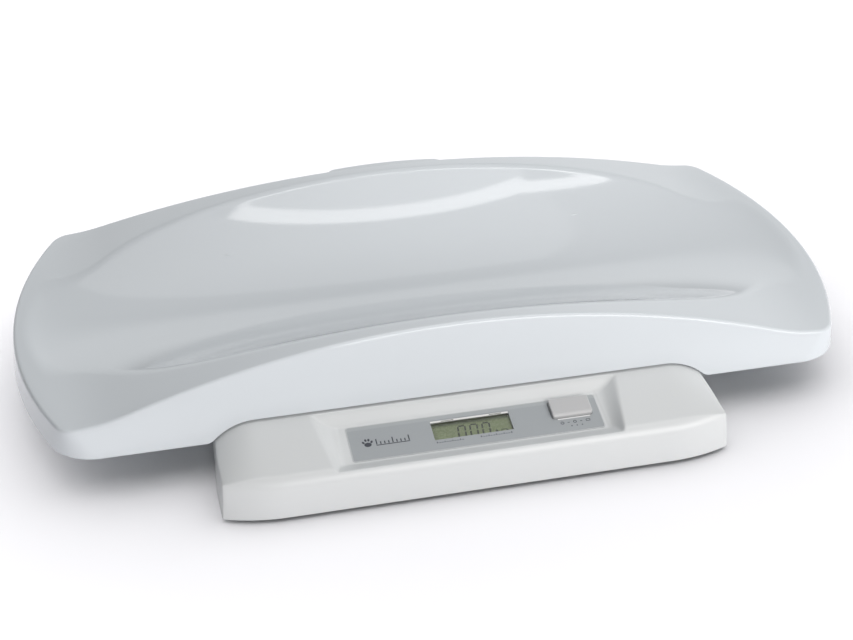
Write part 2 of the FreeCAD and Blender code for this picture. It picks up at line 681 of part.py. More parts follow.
def cell_lower_screws():
    return group([pan_head_screw(-x, 0, PLATE_Z, CELL_Z + 9.0, 3.4, 2.0, 1.5, -1) for x in CELL_HOLES])


def overload_stop():
    """Stop screw under the free end of the load cell."""
    return post(33.0, 0, PLATE_Z, CELL_Z - TRAVEL - 0.1, 2.0)


def stop_nut():
    nut = Part.Face(Part.makePolygon([V(33.0 + 4.0 * math.cos(math.radians(60 * i)),
                                        4.0 * math.sin(math.radians(60 * i)),
                                        PLATE_Z + PLATE_THICK) for i in range(7)]))
    return nut.extrude(V(0, 0, 1.2)).cut(post(33.0, 0, 0, 20, 2.05))


def upper_spacer():
    half = CELL_SIDE / 2
    block = box(14.0, CELL_L / 2, -half, half, CELL_Z + CELL_SIDE, CARRIER_Z)
    for x in CELL_HOLES:
        block = block.cut(post(x, 0, 0, 60, 2.1))
    return block


def cell_upper_screws():
    top = CARRIER_Z + CARRIER_THICK
    return group([pan_head_screw(x, 0, top, CELL_Z + 4.0, 3.4, 2.0, 2.2, 1) for x in CELL_HOLES])


def load_carrier():
    """Cross-shaped plate that spreads the tray's weight over the load cell."""
    arm = 24.0
    reach = math.hypot(SPIGOT_X, SPIGOT_Y)
    angle = math.degrees(math.atan2(SPIGOT_Y, SPIGOT_X))
    z1 = CARRIER_Z + CARRIER_THICK
    pieces = [rounded_box(-52, 52, -26, 26, CARRIER_Z, z1, 8.0)]
    for turn in (angle, -angle):
        bar = box(-reach, reach, -arm / 2, arm / 2, CARRIER_Z, z1)
        bar = bar.fuse([post(s * reach, 0, CARRIER_Z, z1, arm / 2) for s in (-1, 1)])
        bar.rotate(V(0, 0, 0), Z_AXIS, turn)
        pieces.append(bar)
    plate = fuse(pieces)
    for sx in (-1, 1):
        for sy in (-1, 1):
            plate = plate.cut(post(sx * SPIGOT_X, sy * SPIGOT_Y, 0, 60, 6.05))
    for x in CELL_HOLES:
        plate = plate.cut(post(x, 0, 0, 60, 2.1))
    return plate


def tray_bush(x, y):
    """Rubber grommet in the carrier's arm; the tray stands on it."""
    ring = post(x, y, CARRIER_Z + CARRIER_THICK, BUSH_TOP_Z, 8.5)
    ring = ring.fuse(post(x, y, CARRIER_Z, CARRIER_Z + CARRIER_THICK, 6.0))
    ring = ring.fuse(post(x, y, CARRIER_Z - 1.2, CARRIER_Z, 7.6))
    return ring.cut(post(x, y, 0, 60, PIN_R + 0.3)).removeSplitter()


# ---------------------------------------------------------------- power
def battery_box():
    wall = BOX_WALL
    outer = box(-BOX_HALF_X, BOX_HALF_X, BOX_Y0, BOX_Y1, COVER_TOP_Z + 0.05, BOX_TOP_Z)
    hollow = box(-BOX_HALF_X + wall, BOX_HALF_X - wall, BOX_Y0 + wall, BOX_Y1 - wall,
                 0, BOX_TOP_Z - wall)
    hollow = hollow.cut(box(-50, 50, -104.7, -103.7, BOX_TOP_Z - 4.0, BOX_TOP_Z))
    hinge_x = DOOR_HALF_X + 4.4
    case = outer.cut(hollow)
    return case.cut(box(-hinge_x, hinge_x, HINGE_Y - 3.6, HINGE_Y + 3.6, 0, HINGE_Z + 3.5))


def battery(x, y, turned):
    body_len = BATTERY_LENGTH - 1.4
    start = x - BATTERY_LENGTH / 2 + (1.4 if turned else 0.0)
    can = bar_x(start, start + body_len, y, BATTERY_Z, BATTERY_R)
    nub_x = x - BATTERY_LENGTH / 2 if turned else x + BATTERY_LENGTH / 2 - 1.4
    return can.fuse(bar_x(nub_x, nub_x + 1.4, y, BATTERY_Z, 2.6))


def contact_springs():
    """Bowed leaf springs that press on the negative poles."""
    springs = []
    base_x = BOX_HALF_X - BOX_WALL - CONTACT_THICK
    tip = 2 * base_x - 2 * BATTERY_LENGTH - CONTACT_CLEARANCE * 2
    thick = 0.35
    for side, y in zip((-1, 1), BATTERY_ROWS_Y):
        profile = [(0, -5.0), (tip, -1.2), (tip, 1.2), (0, 5.0), (0, 4.3), (tip - thick, 1.0),
                   (tip - thick, -1.0), (0, -4.3)]
        points = [V(side * (base_x - x), y - 3.0, BATTERY_Z + z) for x, z in profile]
        leaf = Part.Face(Part.makePolygon(points + points[:1]))
        springs.append(leaf.extrude(V(0, 6.0, 0)))
    return group(springs)


def contact_plates():
    """Nickel plates at the four ends of the two battery rows."""
    plates = []
    for side in (-1, 1):
        x0, x1 = sorted((side * (BOX_HALF_X - BOX_WALL), side * (BOX_HALF_X - BOX_WALL - CONTACT_THICK)))
        for y in BATTERY_ROWS_Y:
            plates.append(box(x0, x1, y - 5.5, y + 5.5, 9.0, 20.5))
    return group(plates)


def battery_door():
    """Flap in the base's underside; it swings on two pins at its rear edge."""
    gap = 0.4
    x1 = DOOR_HALF_X - gap
    plate = box(-x1, x1, DOOR_Y0 + gap, HINGE_Y, COVER_Z, COVER_Z + DOOR_THICK)
    grip = Part.makeCylinder(9.0, 24, V(-12, DOOR_Y0 + 9.0, COVER_Z - 8.2), X_AXIS)
    plate = plate.cut(grip)
    barrel = bar_x(-x1, x1, HINGE_Y, HINGE_Z, HINGE_BARREL_R)
    pins = [bar_x(-x1 - 3.2, -x1, HINGE_Y, HINGE_Z, HINGE_PIN_R),
            bar_x(x1, x1 + 3.2, HINGE_Y, HINGE_Z, HINGE_PIN_R)]
    tongue_y = DOOR_Y0 + gap + 0.6
    tongue = box(-8, 8, tongue_y, tongue_y + 1.4, COVER_Z + DOOR_THICK - 0.5, COVER_TOP_Z + 3.0)
    return fuse([plate, barrel, tongue] + pins)


# ---------------------------------------------------------------- wiring
def route(points):
    """Straight runs joined by tangent arcs as large as the runs allow."""
    radii = []
    edges = []
    start = points[0]
    for i in range(1, len(points) - 1):
        before = points[i] - points[i - 1]
        after = points[i + 1] - points[i]
        turn = before.getAngle(after)
        run = min(before.Length, after.Length)
        cut = 0.45 * run
        radii.append(cut / math.tan(turn / 2))
        d0 = V(before).normalize()
        d1 = V(after).normalize()
        a = points[i] - d0 * cut
        b = points[i] + d1 * cut
        inward = (d1 - d0).normalize()
        middle = points[i] + inward * (radii[-1] / math.cos(turn / 2) - radii[-1])
        edges.append(Part.makeLine(start, a))
        edges.append(Part.Arc(a, middle, b).toShape())
        start = b
    edges.append(Part.makeLine(start, points[-1]))
    return Part.Wire(edges), radii


def tube(name, points, radius):
    path, radii = route([V(*p) for p in points])
    first = path.Edges[0]
    ring = Part.Wire([Part.makeCircle(radius, first.valueAt(first.FirstParameter),
                                      first.tangentAt(first.FirstParameter))])
    solid = path.makePipeShell([ring], True, False)
    ideal = math.pi * radius ** 2 * path.Length
    print("%s: length %.0f, smallest radius %.1f, volume ratio %.4f"
          % (name, path.Length, min(radii), solid.Volume / ideal))
    return solid


def socket_point(u, v, w):
    p = panel_point(u, v, w)
    return (p.x, p.y, p.z)


CELL_CABLE_R = 1.5
WIRE_R = 0.65


def load_cell_cable():
    low = BOARD_W - BOARD_THICK - 4.5
    plug = socket_point(-45.0, 11.0, low - CELL_CABLE_R - 0.1)
    points = [(-20.0, -CELL_SIDE / 2 - CELL_CABLE_R - 0.1, 16.0), (-34.0, -13.0, 15.0),
              (-52.0, -32.0, 13.0),
              (-68.0, -56.0, 11.0), (-73.0, -86.0, 9.5), (-72.0, -116.0, 8.5), (-66.0, -136.0, 8.6),
              (-56.0, -146.5, 9.0), (plug[0], plug[1], plug[2])]
    return tube("load_cell_cable", points, CELL_CABLE_R)


def battery_wire(name, y, bends, v):
    low = BOARD_W - BOARD_THICK - 4.5
    plug = socket_point(-46.5, v, low - WIRE_R - 0.05)
    return tube(name, [(-BOX_HALF_X - WIRE_R - 0.1, y, 18.0)] + bends + [plug], WIRE_R)


def battery_wire_red():
    bends = [(-62.5, -116.5, 15.5), (-62.5, -126.0, 13.0), (-57.0, -134.5, 12.0)]
    return battery_wire("battery_wire_red", BATTERY_ROWS_Y[0], bends, 19.8)


def battery_wire_black():
    bends = [(-64.5, -103.5, 15.5), (-66.5, -117.0, 12.5), (-65.0, -130.0, 11.0), (-57.5, -138.5, 11.0)]
    return battery_wire("battery_wire_black", BATTERY_ROWS_Y[1], bends, 17.2)


def cable_clips():
    """Two saddles that hold the load cell's cable down on the bottom cover."""
    clips = []
    for x, y, z in ((-73.0, -86.0, 9.5), (-72.0, -116.0, 8.5)):
        saddle = box(x - 4.2, x + 4.2, y - 3, y + 3, COVER_TOP_Z, z + 3.6)
        clips.append(saddle.cut(box(x - 3.0, x + 3.0, y - 4, y + 4, z - 2.2, z + 2.4)))
    return group(clips)


# ---------------------------------------------------------------- assembly
def main():
    save("tray", tray())
    save("console_housing", console_housing())
    save("bottom_cover", bottom_cover())
    for name, (x, y) in zip(("front_left", "front_right", "rear_left", "rear_right"), FEET):
        save("foot_" + name, foot(x, y))
    save("housing_screws", housing_screws())
    save("fascia_label", fascia_label())
    save("display_window", display_window())
    save("display_bezel", display_bezel())
    save("display_glass", display_glass())
    save("display_reflector", display_reflector())
    save("contact_strips", contact_strips())
    save("circuit_board", circuit_board())
    save("board_screws", board_screws())
    save("board_chips", board_chips())
    save("cable_sockets", cable_sockets())
    save("button_cap", button_cap())
    save("switch_housing", switch_housing())
    save("switch_plunger", switch_plunger())
    save("mount_plate", mount_plate())
    save("mount_plate_screws", mount_plate_screws())
    save("lower_spacer", lower_spacer())
    save("load_cell", load_cell())
    save("gauge_coating", gauge_coating())
    save("cell_lower_screws", cell_lower_screws())
    save("overload_stop", overload_stop())
    save("stop_nut", stop_nut())
    save("upper_spacer", upper_spacer())
    save("cell_upper_screws", cell_upper_screws())
    save("load_carrier", load_carrier())
    corners = (("front_left", -1, -1), ("front_right", 1, -1), ("rear_left", -1, 1), ("rear_right", 1, 1))
    for name, sx, sy in corners:
        save("tray_bush_" + name, tray_bush(sx * SPIGOT_X, sy * SPIGOT_Y))
    save("battery_box", battery_box())
    number = 0
    shift = BOX_HALF_X - BOX_WALL - CONTACT_THICK - BATTERY_LENGTH - CONTACT_CLEARANCE
    for side, y in zip((1, -1), BATTERY_ROWS_Y):
        for x in (-BATTERY_LENGTH / 2, BATTERY_LENGTH / 2):
            number += 1
            save("battery_%d" % number, battery(x + side * shift, y, side < 0))
    save("contact_springs", contact_springs())
    save("contact_plates", contact_plates())
    save("battery_door", battery_door())
    save("load_cell_cable", load_cell_cable())
    save("battery_wire_red", battery_wire_red())
    save("battery_wire_black", battery_wire_black())
    save("cable_clips", cable_clips())


main()
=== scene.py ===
import json
import math
import bpy
import bmesh
from mathutils import Matrix, Quaternion, Vector


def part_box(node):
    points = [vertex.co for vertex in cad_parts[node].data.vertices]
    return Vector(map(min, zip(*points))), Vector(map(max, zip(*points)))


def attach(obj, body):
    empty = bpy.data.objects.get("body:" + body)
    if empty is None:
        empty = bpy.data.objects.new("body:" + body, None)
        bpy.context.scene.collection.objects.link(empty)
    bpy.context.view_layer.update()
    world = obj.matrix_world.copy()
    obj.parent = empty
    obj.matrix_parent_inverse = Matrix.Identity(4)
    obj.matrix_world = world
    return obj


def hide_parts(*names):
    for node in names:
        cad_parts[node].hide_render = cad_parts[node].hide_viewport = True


# Looks of a small-animal bench scale: a glossy trough tray on a flat base with a display console.
# Shapes are drawn in millimetres about the middle of the tray and put into the frame by place().

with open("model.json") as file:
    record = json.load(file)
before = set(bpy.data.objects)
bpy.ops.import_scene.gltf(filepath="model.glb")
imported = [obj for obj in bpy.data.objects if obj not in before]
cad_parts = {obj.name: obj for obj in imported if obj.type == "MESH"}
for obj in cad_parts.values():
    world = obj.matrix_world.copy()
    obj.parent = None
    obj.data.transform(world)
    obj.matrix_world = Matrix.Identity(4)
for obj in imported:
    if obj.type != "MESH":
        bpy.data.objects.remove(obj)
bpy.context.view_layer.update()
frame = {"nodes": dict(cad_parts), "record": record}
nodes = frame["nodes"]
scene = bpy.context.scene

# ---------------------------------------------------------------- driving dimensions, mm
RIM_APEX_Z = 81.8            # rim height at the middle of the long sides
RIM_END_Z = 46.6             # rim height at the ends
RIM_ARCH_R = 746.0
RIM_BLEND_R = 130.0
SKIRT_Z = 27.7               # the skirt's bottom edge
SKIRT_HALF_DEPTH = 125.5
SKIRT_DRAFT = 0.32
END_R = 257.0
END_CENTRE = (20.0, -7.0)
END_DRAFT = 0.106
CORNER_R_LOW = 32.0
CORNER_R_HIGH = 12.0
RIM_EDGE_R = 2.5
TROUGH_Z = 43.0
TROUGH_CURVE = 0.00409
TROUGH_HALF_LENGTH = 266.0
TROUGH_FLAT_X = 254.0
TROUGH_MIN_CURVE = 0.00065
TROUGH_END_RISE = 3.6
TROUGH_END_POWER = 14
TROUGH_SPINE_X = 150.0       # the trough's mesh rings shrink onto a line of this half length
CREASE_BLEND = 2.4           # softness of the crease between rim and trough
CREASE_MIN = 0.7
CREASE_FADE_X = 300.0
TRAY_WALL = 3.0
UNDER_WALL = 1.1 * TRAY_WALL     # the trough's wall, measured straight down
SKIRT_LIP = 0.5              # rounding of the skirt's lower edge
INNER_LIP = (0.3, 0.4)       # chamfer inside the skirt's lower edge: across, up
GRIP_HALF_WIDTH = 43.0
GRIP_CORNER_R = 6.0
GRIP_Y = 126.0
GRIP_TOP_Z = 74.2
GRIP_THICK = 7.6
GRIP_ARCH_R = 450.0
GRIP_ROOT_Y = 109.0
GRIP_EDGE_R = 1.2
SPIGOT = (125.0, 62.0)       # places of the posts under the trough, mirrored both ways
SPIGOT_LOW_Z = 36.5
SPIGOT_R = 8.0
PIN_Z = (32.0, 37.5)
PIN_R = 3.4
RIB_LOW_Z = 38.0
RIB_HALF = 1.0
RIB_CHAMFER = 0.5
RIB_BURIED = 1.6             # the ribs end this far below the trough's surface

FOOT_H = 3.0
FRONT_Y = -176.0
FRONT_STRAIGHT_X = 122.0
FRONT_ARC_R = 108.0
FRONT_LEAN = 0.12
SIDE_X = 161.0
SIDE_LEAN = 0.065            # inward lean of the housing's sides, per mm of height
SIDE_BREAK_Y = -140.0
REAR_X = 147.0
REAR_Y = 88.0
REAR_CORNER_R = 25.0
GAP_Y = -122.0
CONSOLE_TOP_Z = 37.2
CONSOLE_SLOPE = 0.18
PLATEAU_REAR_Y = -96.0
STEP_RUN = 4.0
DECK_Z = 28.0
SHOULDER_X = 133.0
SHOULDER_R = 41.9
SHOULDER_FRONT_Y = -186.0
SHOULDER_REACH = 0.9         # the shoulder's arc is followed up to this share of its radius
NO_LIMIT = 1000.0
NOSE_R = 9.0
HOUSING_WALL = 2.5
TRAY_GAP = 1.5
EDGE_SOFT = 1.0              # how far the housing's side edges are rounded in
SCREWS = ((-149, -128), (149, -128), (-143, -30), (143, -30), (-112, 76), (112, 76))
BOSS_LOW_Z = 5.9
BOSS_TOP_Z = 27.5            # top of the bosses under the console
BOSS_R = 4.0

PANEL_Y = -158.8
PANEL_Z = 23.6
PANEL_SLOPE = math.radians(12.14)
PANEL_HALF_U = 84.0
PANEL_TOP_V = 29.5
PANEL_LOW_V = -1.0
RIDGE_LOW_U = 90.5
RIDGE_TOP_U = 98.5
LIP_Y = -172.0
RIDGE_SETBACK = 1.2          # the recess ends this far in front of the gap
RECESS_REACH = (8.0, 3.0)    # the recess is worked out this far past its ridge and its lip
DISH_POWER = 1.5             # how the recess's ends curve up
PANEL_WALL = 2.0
LABEL_THICK = 0.25
WINDOW = (-0.3, 16.65, 50.5, 15.5)   # middle u, v, width, height
GLASS_DEPTH = 2.85
DISPLAY_MARGIN = 3.7         # the opening is this much larger than the window, over both sides
BUTTON = (64.2, 19.5, 26.0, 14.2)    # middle u, v, length, depth
BUTTON_PROUD = 3.0
BUTTON_MARGIN = 0.6
BUTTON_EDGE_R = 0.7
BUTTON_CORNER_R = 1.5
BUTTON_LIP = 1.7             # depth of the chamfer on the button's front edge
PRINT_W = 0.004              # the print starts this far above the label
INK_THICK = 0.02

WORLD_LEFT = 0.04
WORLD_RIGHT = 0.48
WORLD_TINT = (0.975, 0.99, 1.0, 1.0)
REAR_GLOW = 0.85
GLOW_UPPER = (0.58, 0.44)    # the glow comes in between these heights on the unit sphere,
GLOW_LOWER = (-0.02, 0.26)   # from its upper and its lower side,
GLOW_BEHIND = (0.68, 0.88)   # and between these shares of the way to straight behind
LIGHT_Z = 1500.0
STRIP_RADIANCE = 5.6
FLOOR_WASH = 1.1
FLOOR_SUN_ANGLE = math.radians(148.0)
FLOOR_SUN_AIM = (0.2, -0.95, -1.0)
FLOOR_SUN_COLOR = (1.0, 0.985, 1.01)
FLOOR_HALF = 6.0             # metres

CAMERA_AT = (-0.2133, -0.9217, 0.6506)
CAMERA_AZIMUTH = math.radians(12.90)
CAMERA_ELEVATION = math.radians(33.24)
CAMERA_ROLL = math.radians(-0.093)
CAMERA_LENS = 70.2
SENSOR_WIDTH = 36.0

middle_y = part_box("tray")[1].y * 1000.0 - GRIP_Y


def place(p):
    """Millimetres about the tray's middle to metres in the frame."""
    return Vector((p[0], p[1] + middle_y, p[2])) * 0.001


def on_panel(p):
    """Panel coordinates: u along X, v up the slope, w outward, to millimetres."""
    u, v, w = p
    return (u, PANEL_Y + v * math.cos(PANEL_SLOPE) - w * math.sin(PANEL_SLOPE),
            PANEL_Z + v * math.sin(PANEL_SLOPE) + w * math.cos(PANEL_SLOPE))


# ---------------------------------------------------------------- mesh helpers
def smooth_min(a, b, k):
    h = max(k - abs(a - b), 0.0) / k
    return min(a, b) - h * h * k / 4.0


def smooth_max(a, b, k):
    return -smooth_min(-a, -b, k)


def lerp(a, b, t):
    return a + (b - a) * t


def steps(a, b, n):
    return [lerp(a, b, i / n) for i in range(n + 1)]


def turn(a, b, n):
    """Unit vectors that turn evenly from a to b."""
    angle = a.angle(b, 0.0)
    if angle < 1e-4:
        return [a.copy() for _ in range(n + 1)]
    return [(a * math.sin(angle * (1 - t)) + b * math.sin(angle * t)) / math.sin(angle)
            for t in steps(0.0, 1.0, n)]


class Build:
    """Collects the vertices and faces of one mesh, in millimetres."""

    def __init__(self):
        self.points = []
        self.faces = []

    def row(self, points):
        start = len(self.points)
        self.points.extend(points)
        return list(range(start, len(self.points)))

    def strip(self, a, b, closed=False):
        count = len(a) if closed else len(a) - 1
        for i in range(count):
            j = (i + 1) % len(a)
            self.faces.append((a[i], a[j], b[j], b[i]))

    def skin(self, rows, closed=False):
        for a, b in zip(rows, rows[1:]):
            self.strip(a, b, closed)

    def tube(self, loops):
        """A closed body through loops of points, with flat ends."""
        rows = [self.row(loop) for loop in loops]
        self.skin(rows, closed=True)
        self.faces.append(tuple(reversed(rows[0])))
        self.faces.append(tuple(rows[-1]))

    def piece(self, name, material, sharp_deg=30.0, merge=0.002):
        mesh = bpy.data.meshes.new(name)
        mesh.from_pydata([place(p) for p in self.points], [], self.faces)
        tidy(mesh, sharp_deg, merge)
        mesh.materials.append(material)
        obj = bpy.data.objects.new(name, mesh)
        scene.collection.objects.link(obj)
        return obj


def tidy(mesh, sharp_deg, merge=0.002):
    """Joins doubled points, turns faces outward and keeps edges over sharp_deg crisp."""
    bm = bmesh.new()
    bm.from_mesh(mesh)
    bmesh.ops.remove_doubles(bm, verts=bm.verts, dist=merge * 0.001)
    bmesh.ops.dissolve_degenerate(bm, edges=bm.edges, dist=1e-7)
    bmesh.ops.recalc_face_normals(bm, faces=bm.faces)
    limit = math.radians(sharp_deg)
    for face in bm.faces:
        face.smooth = True
    for edge in bm.edges:
        edge.smooth = len(edge.link_faces) == 2 and edge.calc_face_angle(0.0) < limit
    bm.to_mesh(mesh)
    bm.free()


def rounded_outline(half_x, half_y, radius, count=5, centre=(0.0, 0.0)):
    """Plan loop of a rectangle with round corners."""
    loop = []
    for quarter, (sx, sy) in enumerate(((1, 1), (-1, 1), (-1, -1), (1, -1))):
        for angle in steps(0.0, math.pi / 2, count):
            a = angle + quarter * math.pi / 2
            loop.append((centre[0] + sx * (half_x - radius) + radius * math.cos(a),
                         centre[1] + sy * (half_y - radius) + radius * math.sin(a)))
    return loop


def soft_post(build, x, y, z0, z1, radius, edge=0.5, count=32):
    """Round post with rounded end edges."""
    profile = [(radius - edge * (1 - math.cos(a)), z0 + edge * (1 + math.sin(a)))
               for a in steps(-math.pi / 2, 0.0, 3)]
    profile += [(radius - edge * (1 - math.cos(a)), z1 - edge * (1 - math.sin(a)))
                for a in steps(0.0, math.pi / 2, 3)]
    angles = [2 * math.pi * i / count for i in range(count)]
    build.tube([[(x + r * math.cos(a), y + r * math.sin(a), z) for a in angles] for r, z in profile])


# ---------------------------------------------------------------- material helpers
def map_range(tree, value, low, high, out_low=0.0, out_high=1.0, kind="LINEAR"):
    node = tree.nodes.new("ShaderNodeMapRange")
    node.interpolation_type = kind
    limits = {"From Min": low, "From Max": high, "To Min": out_low, "To Max": out_high}
    for name, number in limits.items():
        node.inputs[name].default_value = number
    tree.links.new(value, node.inputs["Value"])
    return node.outputs["Result"]


def calculate(tree, kind, *values):
    """Math node fed by numbers or by other nodes' outputs."""
    node = tree.nodes.new("ShaderNodeMath")
    node.operation = kind
    for socket, value in zip(node.inputs, values):
        if isinstance(value, (int, float)):
            socket.default_value = value
        else:
            tree.links.new(value, socket)
    return node.outputs[0]


class Nodes:
    """Short calls for building a material's node tree."""

    def __init__(self, name):
        self.material = bpy.data.materials.new(name)
        self.material.use_nodes = True
        self.tree = self.material.node_tree
        self.shader = self.tree.nodes["Principled BSDF"]
        self.coord = self.tree.nodes.new("ShaderNodeTexCoord").outputs["Object"]

    def link(self, a, b):
        self.tree.links.new(a, b)

    def set(self, **values):
        for key, value in values.items():
            self.shader.inputs[key.replace("_", " ")].default_value = value

    def noise(self, scale, detail=3.0, rough=0.5, stretch=None):
        node = self.tree.nodes.new("ShaderNodeTexNoise")
        node.inputs["Scale"].default_value = scale
        node.inputs["Detail"].default_value = detail
        node.inputs["Roughness"].default_value = rough
        source = self.coord
        if stretch:
            mapping = self.tree.nodes.new("ShaderNodeMapping")
            mapping.inputs["Scale"].default_value = stretch
            self.link(source, mapping.inputs["Vector"])
            source = mapping.outputs["Vector"]
        self.link(source, node.inputs["Vector"])
        return node.outputs["Fac"]

    def axis(self, index):
        node = self.tree.nodes.new("ShaderNodeSeparateXYZ")
        self.link(self.coord, node.inputs["Vector"])
        return node.outputs[index]

    def spread(self, value, low, high, out_low, out_high):
        return map_range(self.tree, value, low, high, out_low, out_high)

    def blend(self, factor, a, b):
        """Mix of two colours; each is a colour or an output."""
        node = self.tree.nodes.new("ShaderNodeMix")
        node.data_type = "RGBA"
        self.link(factor, node.inputs["Factor"])
        for name, value in (("A", a), ("B", b)):
            if isinstance(value, tuple):
                node.inputs[name].default_value = value
            else:
                self.link(value, node.inputs[name])
        return node.outputs["Result"]

    def tint(self, value, stops):
        node = self.tree.nodes.new("ShaderNodeValToRGB")
        ramp = node.color_ramp
        for element, (position, color) in zip(ramp.elements, (stops[0], stops[-1])):
            element.position = position
            element.color = (*color, 1.0)
        for position, color in stops[1:-1]:
            ramp.elements.new(position).color = (*color, 1.0)
        self.link(value, node.inputs["Fac"])
        return node.outputs["Color"]

    def color(self, output):
        self.link(output, self.shader.inputs["Base Color"])

    def rough(self, output):
        self.link(output, self.shader.inputs["Roughness"])

    def bump(self, height, strength, distance):
        node = self.tree.nodes.new("ShaderNodeBump")
        node.inputs["Strength"].default_value = strength
        node.inputs["Distance"].default_value = distance
        self.link(height, node.inputs["Height"])
        self.link(node.outputs["Normal"], self.shader.inputs["Normal"])


def shade(color, amount):
    return tuple(max(0.0, min(1.0, c * amount)) for c in color)


def moulded(name, color, gloss, grain, grain_depth, variation):
    """Moulded plastic: cloudy colour, uneven gloss and a fine spark-eroded grain."""
    n = Nodes(name)
    clouds = n.noise(14.0, 4.0)
    n.color(n.tint(clouds, [(0.2, shade(color, 1 - variation)), (0.8, shade(color, 1 + variation))]))
    n.rough(n.spread(n.noise(25.0, 3.0, 0.5), 0.2, 0.8, gloss * 0.94, gloss * 1.06))
    n.bump(n.noise(grain, 2.0), 1.0, grain_depth)
    n.set(IOR=1.46)
    return n.material


def metal(name, color, rough, scratch, tone):
    """Metal with fine drawn or tumbled marks."""
    n = Nodes(name)
    marks = n.noise(900.0, 3.0, 0.6, stretch=scratch)
    n.color(n.tint(marks, [(0.35, shade(color, 1 - tone)), (0.65, shade(color, 1 + tone))]))
    n.rough(n.spread(marks, 0.3, 0.7, rough * 0.7, rough * 1.35))
    n.bump(marks, 0.4, 0.00002)
    n.set(Metallic=1.0)
    return n.material


# ---------------------------------------------------------------- materials
MOULDED = {    # colour, gloss, scale and depth of the grain, variation of the colour
    "tray_plastic": ((0.685, 0.72, 0.75), 0.07, 900.0, 0.0000008, 0.006),
    "housing_plastic": ((0.66, 0.675, 0.68), 0.31, 1400.0, 0.000003, 0.006),
    "cover_plastic": ((0.60, 0.615, 0.625), 0.42, 1100.0, 0.00002, 0.03),
    "bezel_plastic": ((0.80, 0.80, 0.79), 0.35, 1500.0, 0.000008, 0.01),
    "chip_plastic": ((0.018, 0.018, 0.02), 0.45, 3000.0, 0.00001, 0.2),
    "socket_plastic": ((0.78, 0.76, 0.68), 0.4, 2000.0, 0.00001, 0.03),
    "button_plastic": ((0.50, 0.50, 0.505), 0.34, 1600.0, 0.000008, 0.015),
    "rubber": ((0.045, 0.045, 0.047), 0.75, 1500.0, 0.00003, 0.15),
    "strip_rubber": ((0.09, 0.05, 0.045), 0.6, 2500.0, 0.00002, 0.2),
    "silicone": ((0.75, 0.75, 0.72), 0.3, 500.0, 0.00008, 0.04),
    "cable_grey": ((0.30, 0.31, 0.32), 0.45, 1200.0, 0.00002, 0.06),
    "wire_red": ((0.50, 0.02, 0.02), 0.35, 1500.0, 0.00001, 0.06),
    "wire_black": ((0.02, 0.02, 0.02), 0.35, 1500.0, 0.00001, 0.2),
    "label_ink": ((0.045, 0.05, 0.065), 0.5, 4000.0, 0.000004, 0.15),
    "label_white": ((0.82, 0.82, 0.82), 0.4, 4000.0, 0.000004, 0.02),
    "lcd_ink": ((0.045, 0.055, 0.03), 0.4, 3000.0, 0.000002, 0.25),
}
METAL = {      # colour, roughness, direction of the marks, their tone
    "screw_steel": ((0.55, 0.55, 0.56), 0.32, (1.0, 1.0, 1.0), 0.06),
    "zinc_steel": ((0.62, 0.63, 0.60), 0.36, (1.0, 0.12, 1.0), 0.09),
    "aluminium": ((0.77, 0.78, 0.79), 0.30, (0.06, 1.0, 1.0), 0.05),
    "contact_nickel": ((0.66, 0.62, 0.56), 0.25, (1.0, 1.0, 1.0), 0.06),
    "reflector_foil": ((0.72, 0.74, 0.66), 0.4, (1.0, 1.0, 1.0), 0.06),
}


def make_materials():
    made = {name: moulded(name, *values) for name, values in MOULDED.items()}
    made.update({name: metal(name, *values) for name, values in METAL.items()})
    for make in (label_foil, display_glass, clear_window, board_laminate, battery_wrap):
        made[make.__name__] = make()
    return made


def label_foil():
    """Silver-grey printed polyester: fine metallic speckle and a slightly paler band along its top,
    painted light for the strip above a soft fold, which is tilted to the light.
    """
    n = Nodes("label_foil")
    speckle = n.noise(5200.0, 2.0, 0.7)
    base = (0.345, 0.365, 0.38)
    tone = n.tint(speckle, [(0.3, shade(base, 0.95)), (0.7, shade(base, 1.05))])
    # painted light: the foil above the fold line at v 25.2 is paler, as if tilted toward the light
    top_y = place(on_panel((0.0, 25.2, 0.0))).y
    band = n.spread(n.axis(1), top_y - 0.0002, top_y + 0.0002, 0.0, 1.0)
    n.color(n.blend(band, tone, (0.385, 0.405, 0.415, 1.0)))
    n.rough(n.spread(speckle, 0.3, 0.7, 0.36, 0.46))
    n.bump(n.noise(2600.0, 3.0), 0.5, 0.000004)
    n.set(Metallic=0.15)
    return n.material


def display_glass():
    """Reflective liquid crystal: olive green, with painted shade below the bezel's upper and left edges.
    """
    n = Nodes("display_glass")
    cloud = n.noise(160.0, 3.0)
    base = (0.295, 0.355, 0.175)
    tone = n.tint(cloud, [(0.3, shade(base, 0.95)), (0.7, shade(base, 1.06))])
    u, v, width, height = WINDOW
    top = place(on_panel((u, v + height / 2, -GLASS_DEPTH))).y
    left = place(on_panel((u - width / 2, v, -GLASS_DEPTH))).x
    # painted shade: the liquid crystal is darkened in a band under the bezel's top edge and along its
    # left edge, where the bezel's shadow falls
    upper = n.spread(n.axis(1), top - 0.0042, top - 0.0012, 1.0, 0.42)
    side = n.spread(n.axis(0), left, left + 0.0035, 0.62, 1.0)
    light = calculate(n.tree, "MULTIPLY", upper, side)
    n.color(n.blend(light, (0.05, 0.055, 0.035, 1.0), tone))
    n.rough(n.spread(n.noise(800.0, 2.0), 0.3, 0.7, 0.22, 0.32))
    n.bump(n.noise(1500.0, 2.0), 0.3, 0.000002)
    return n.material


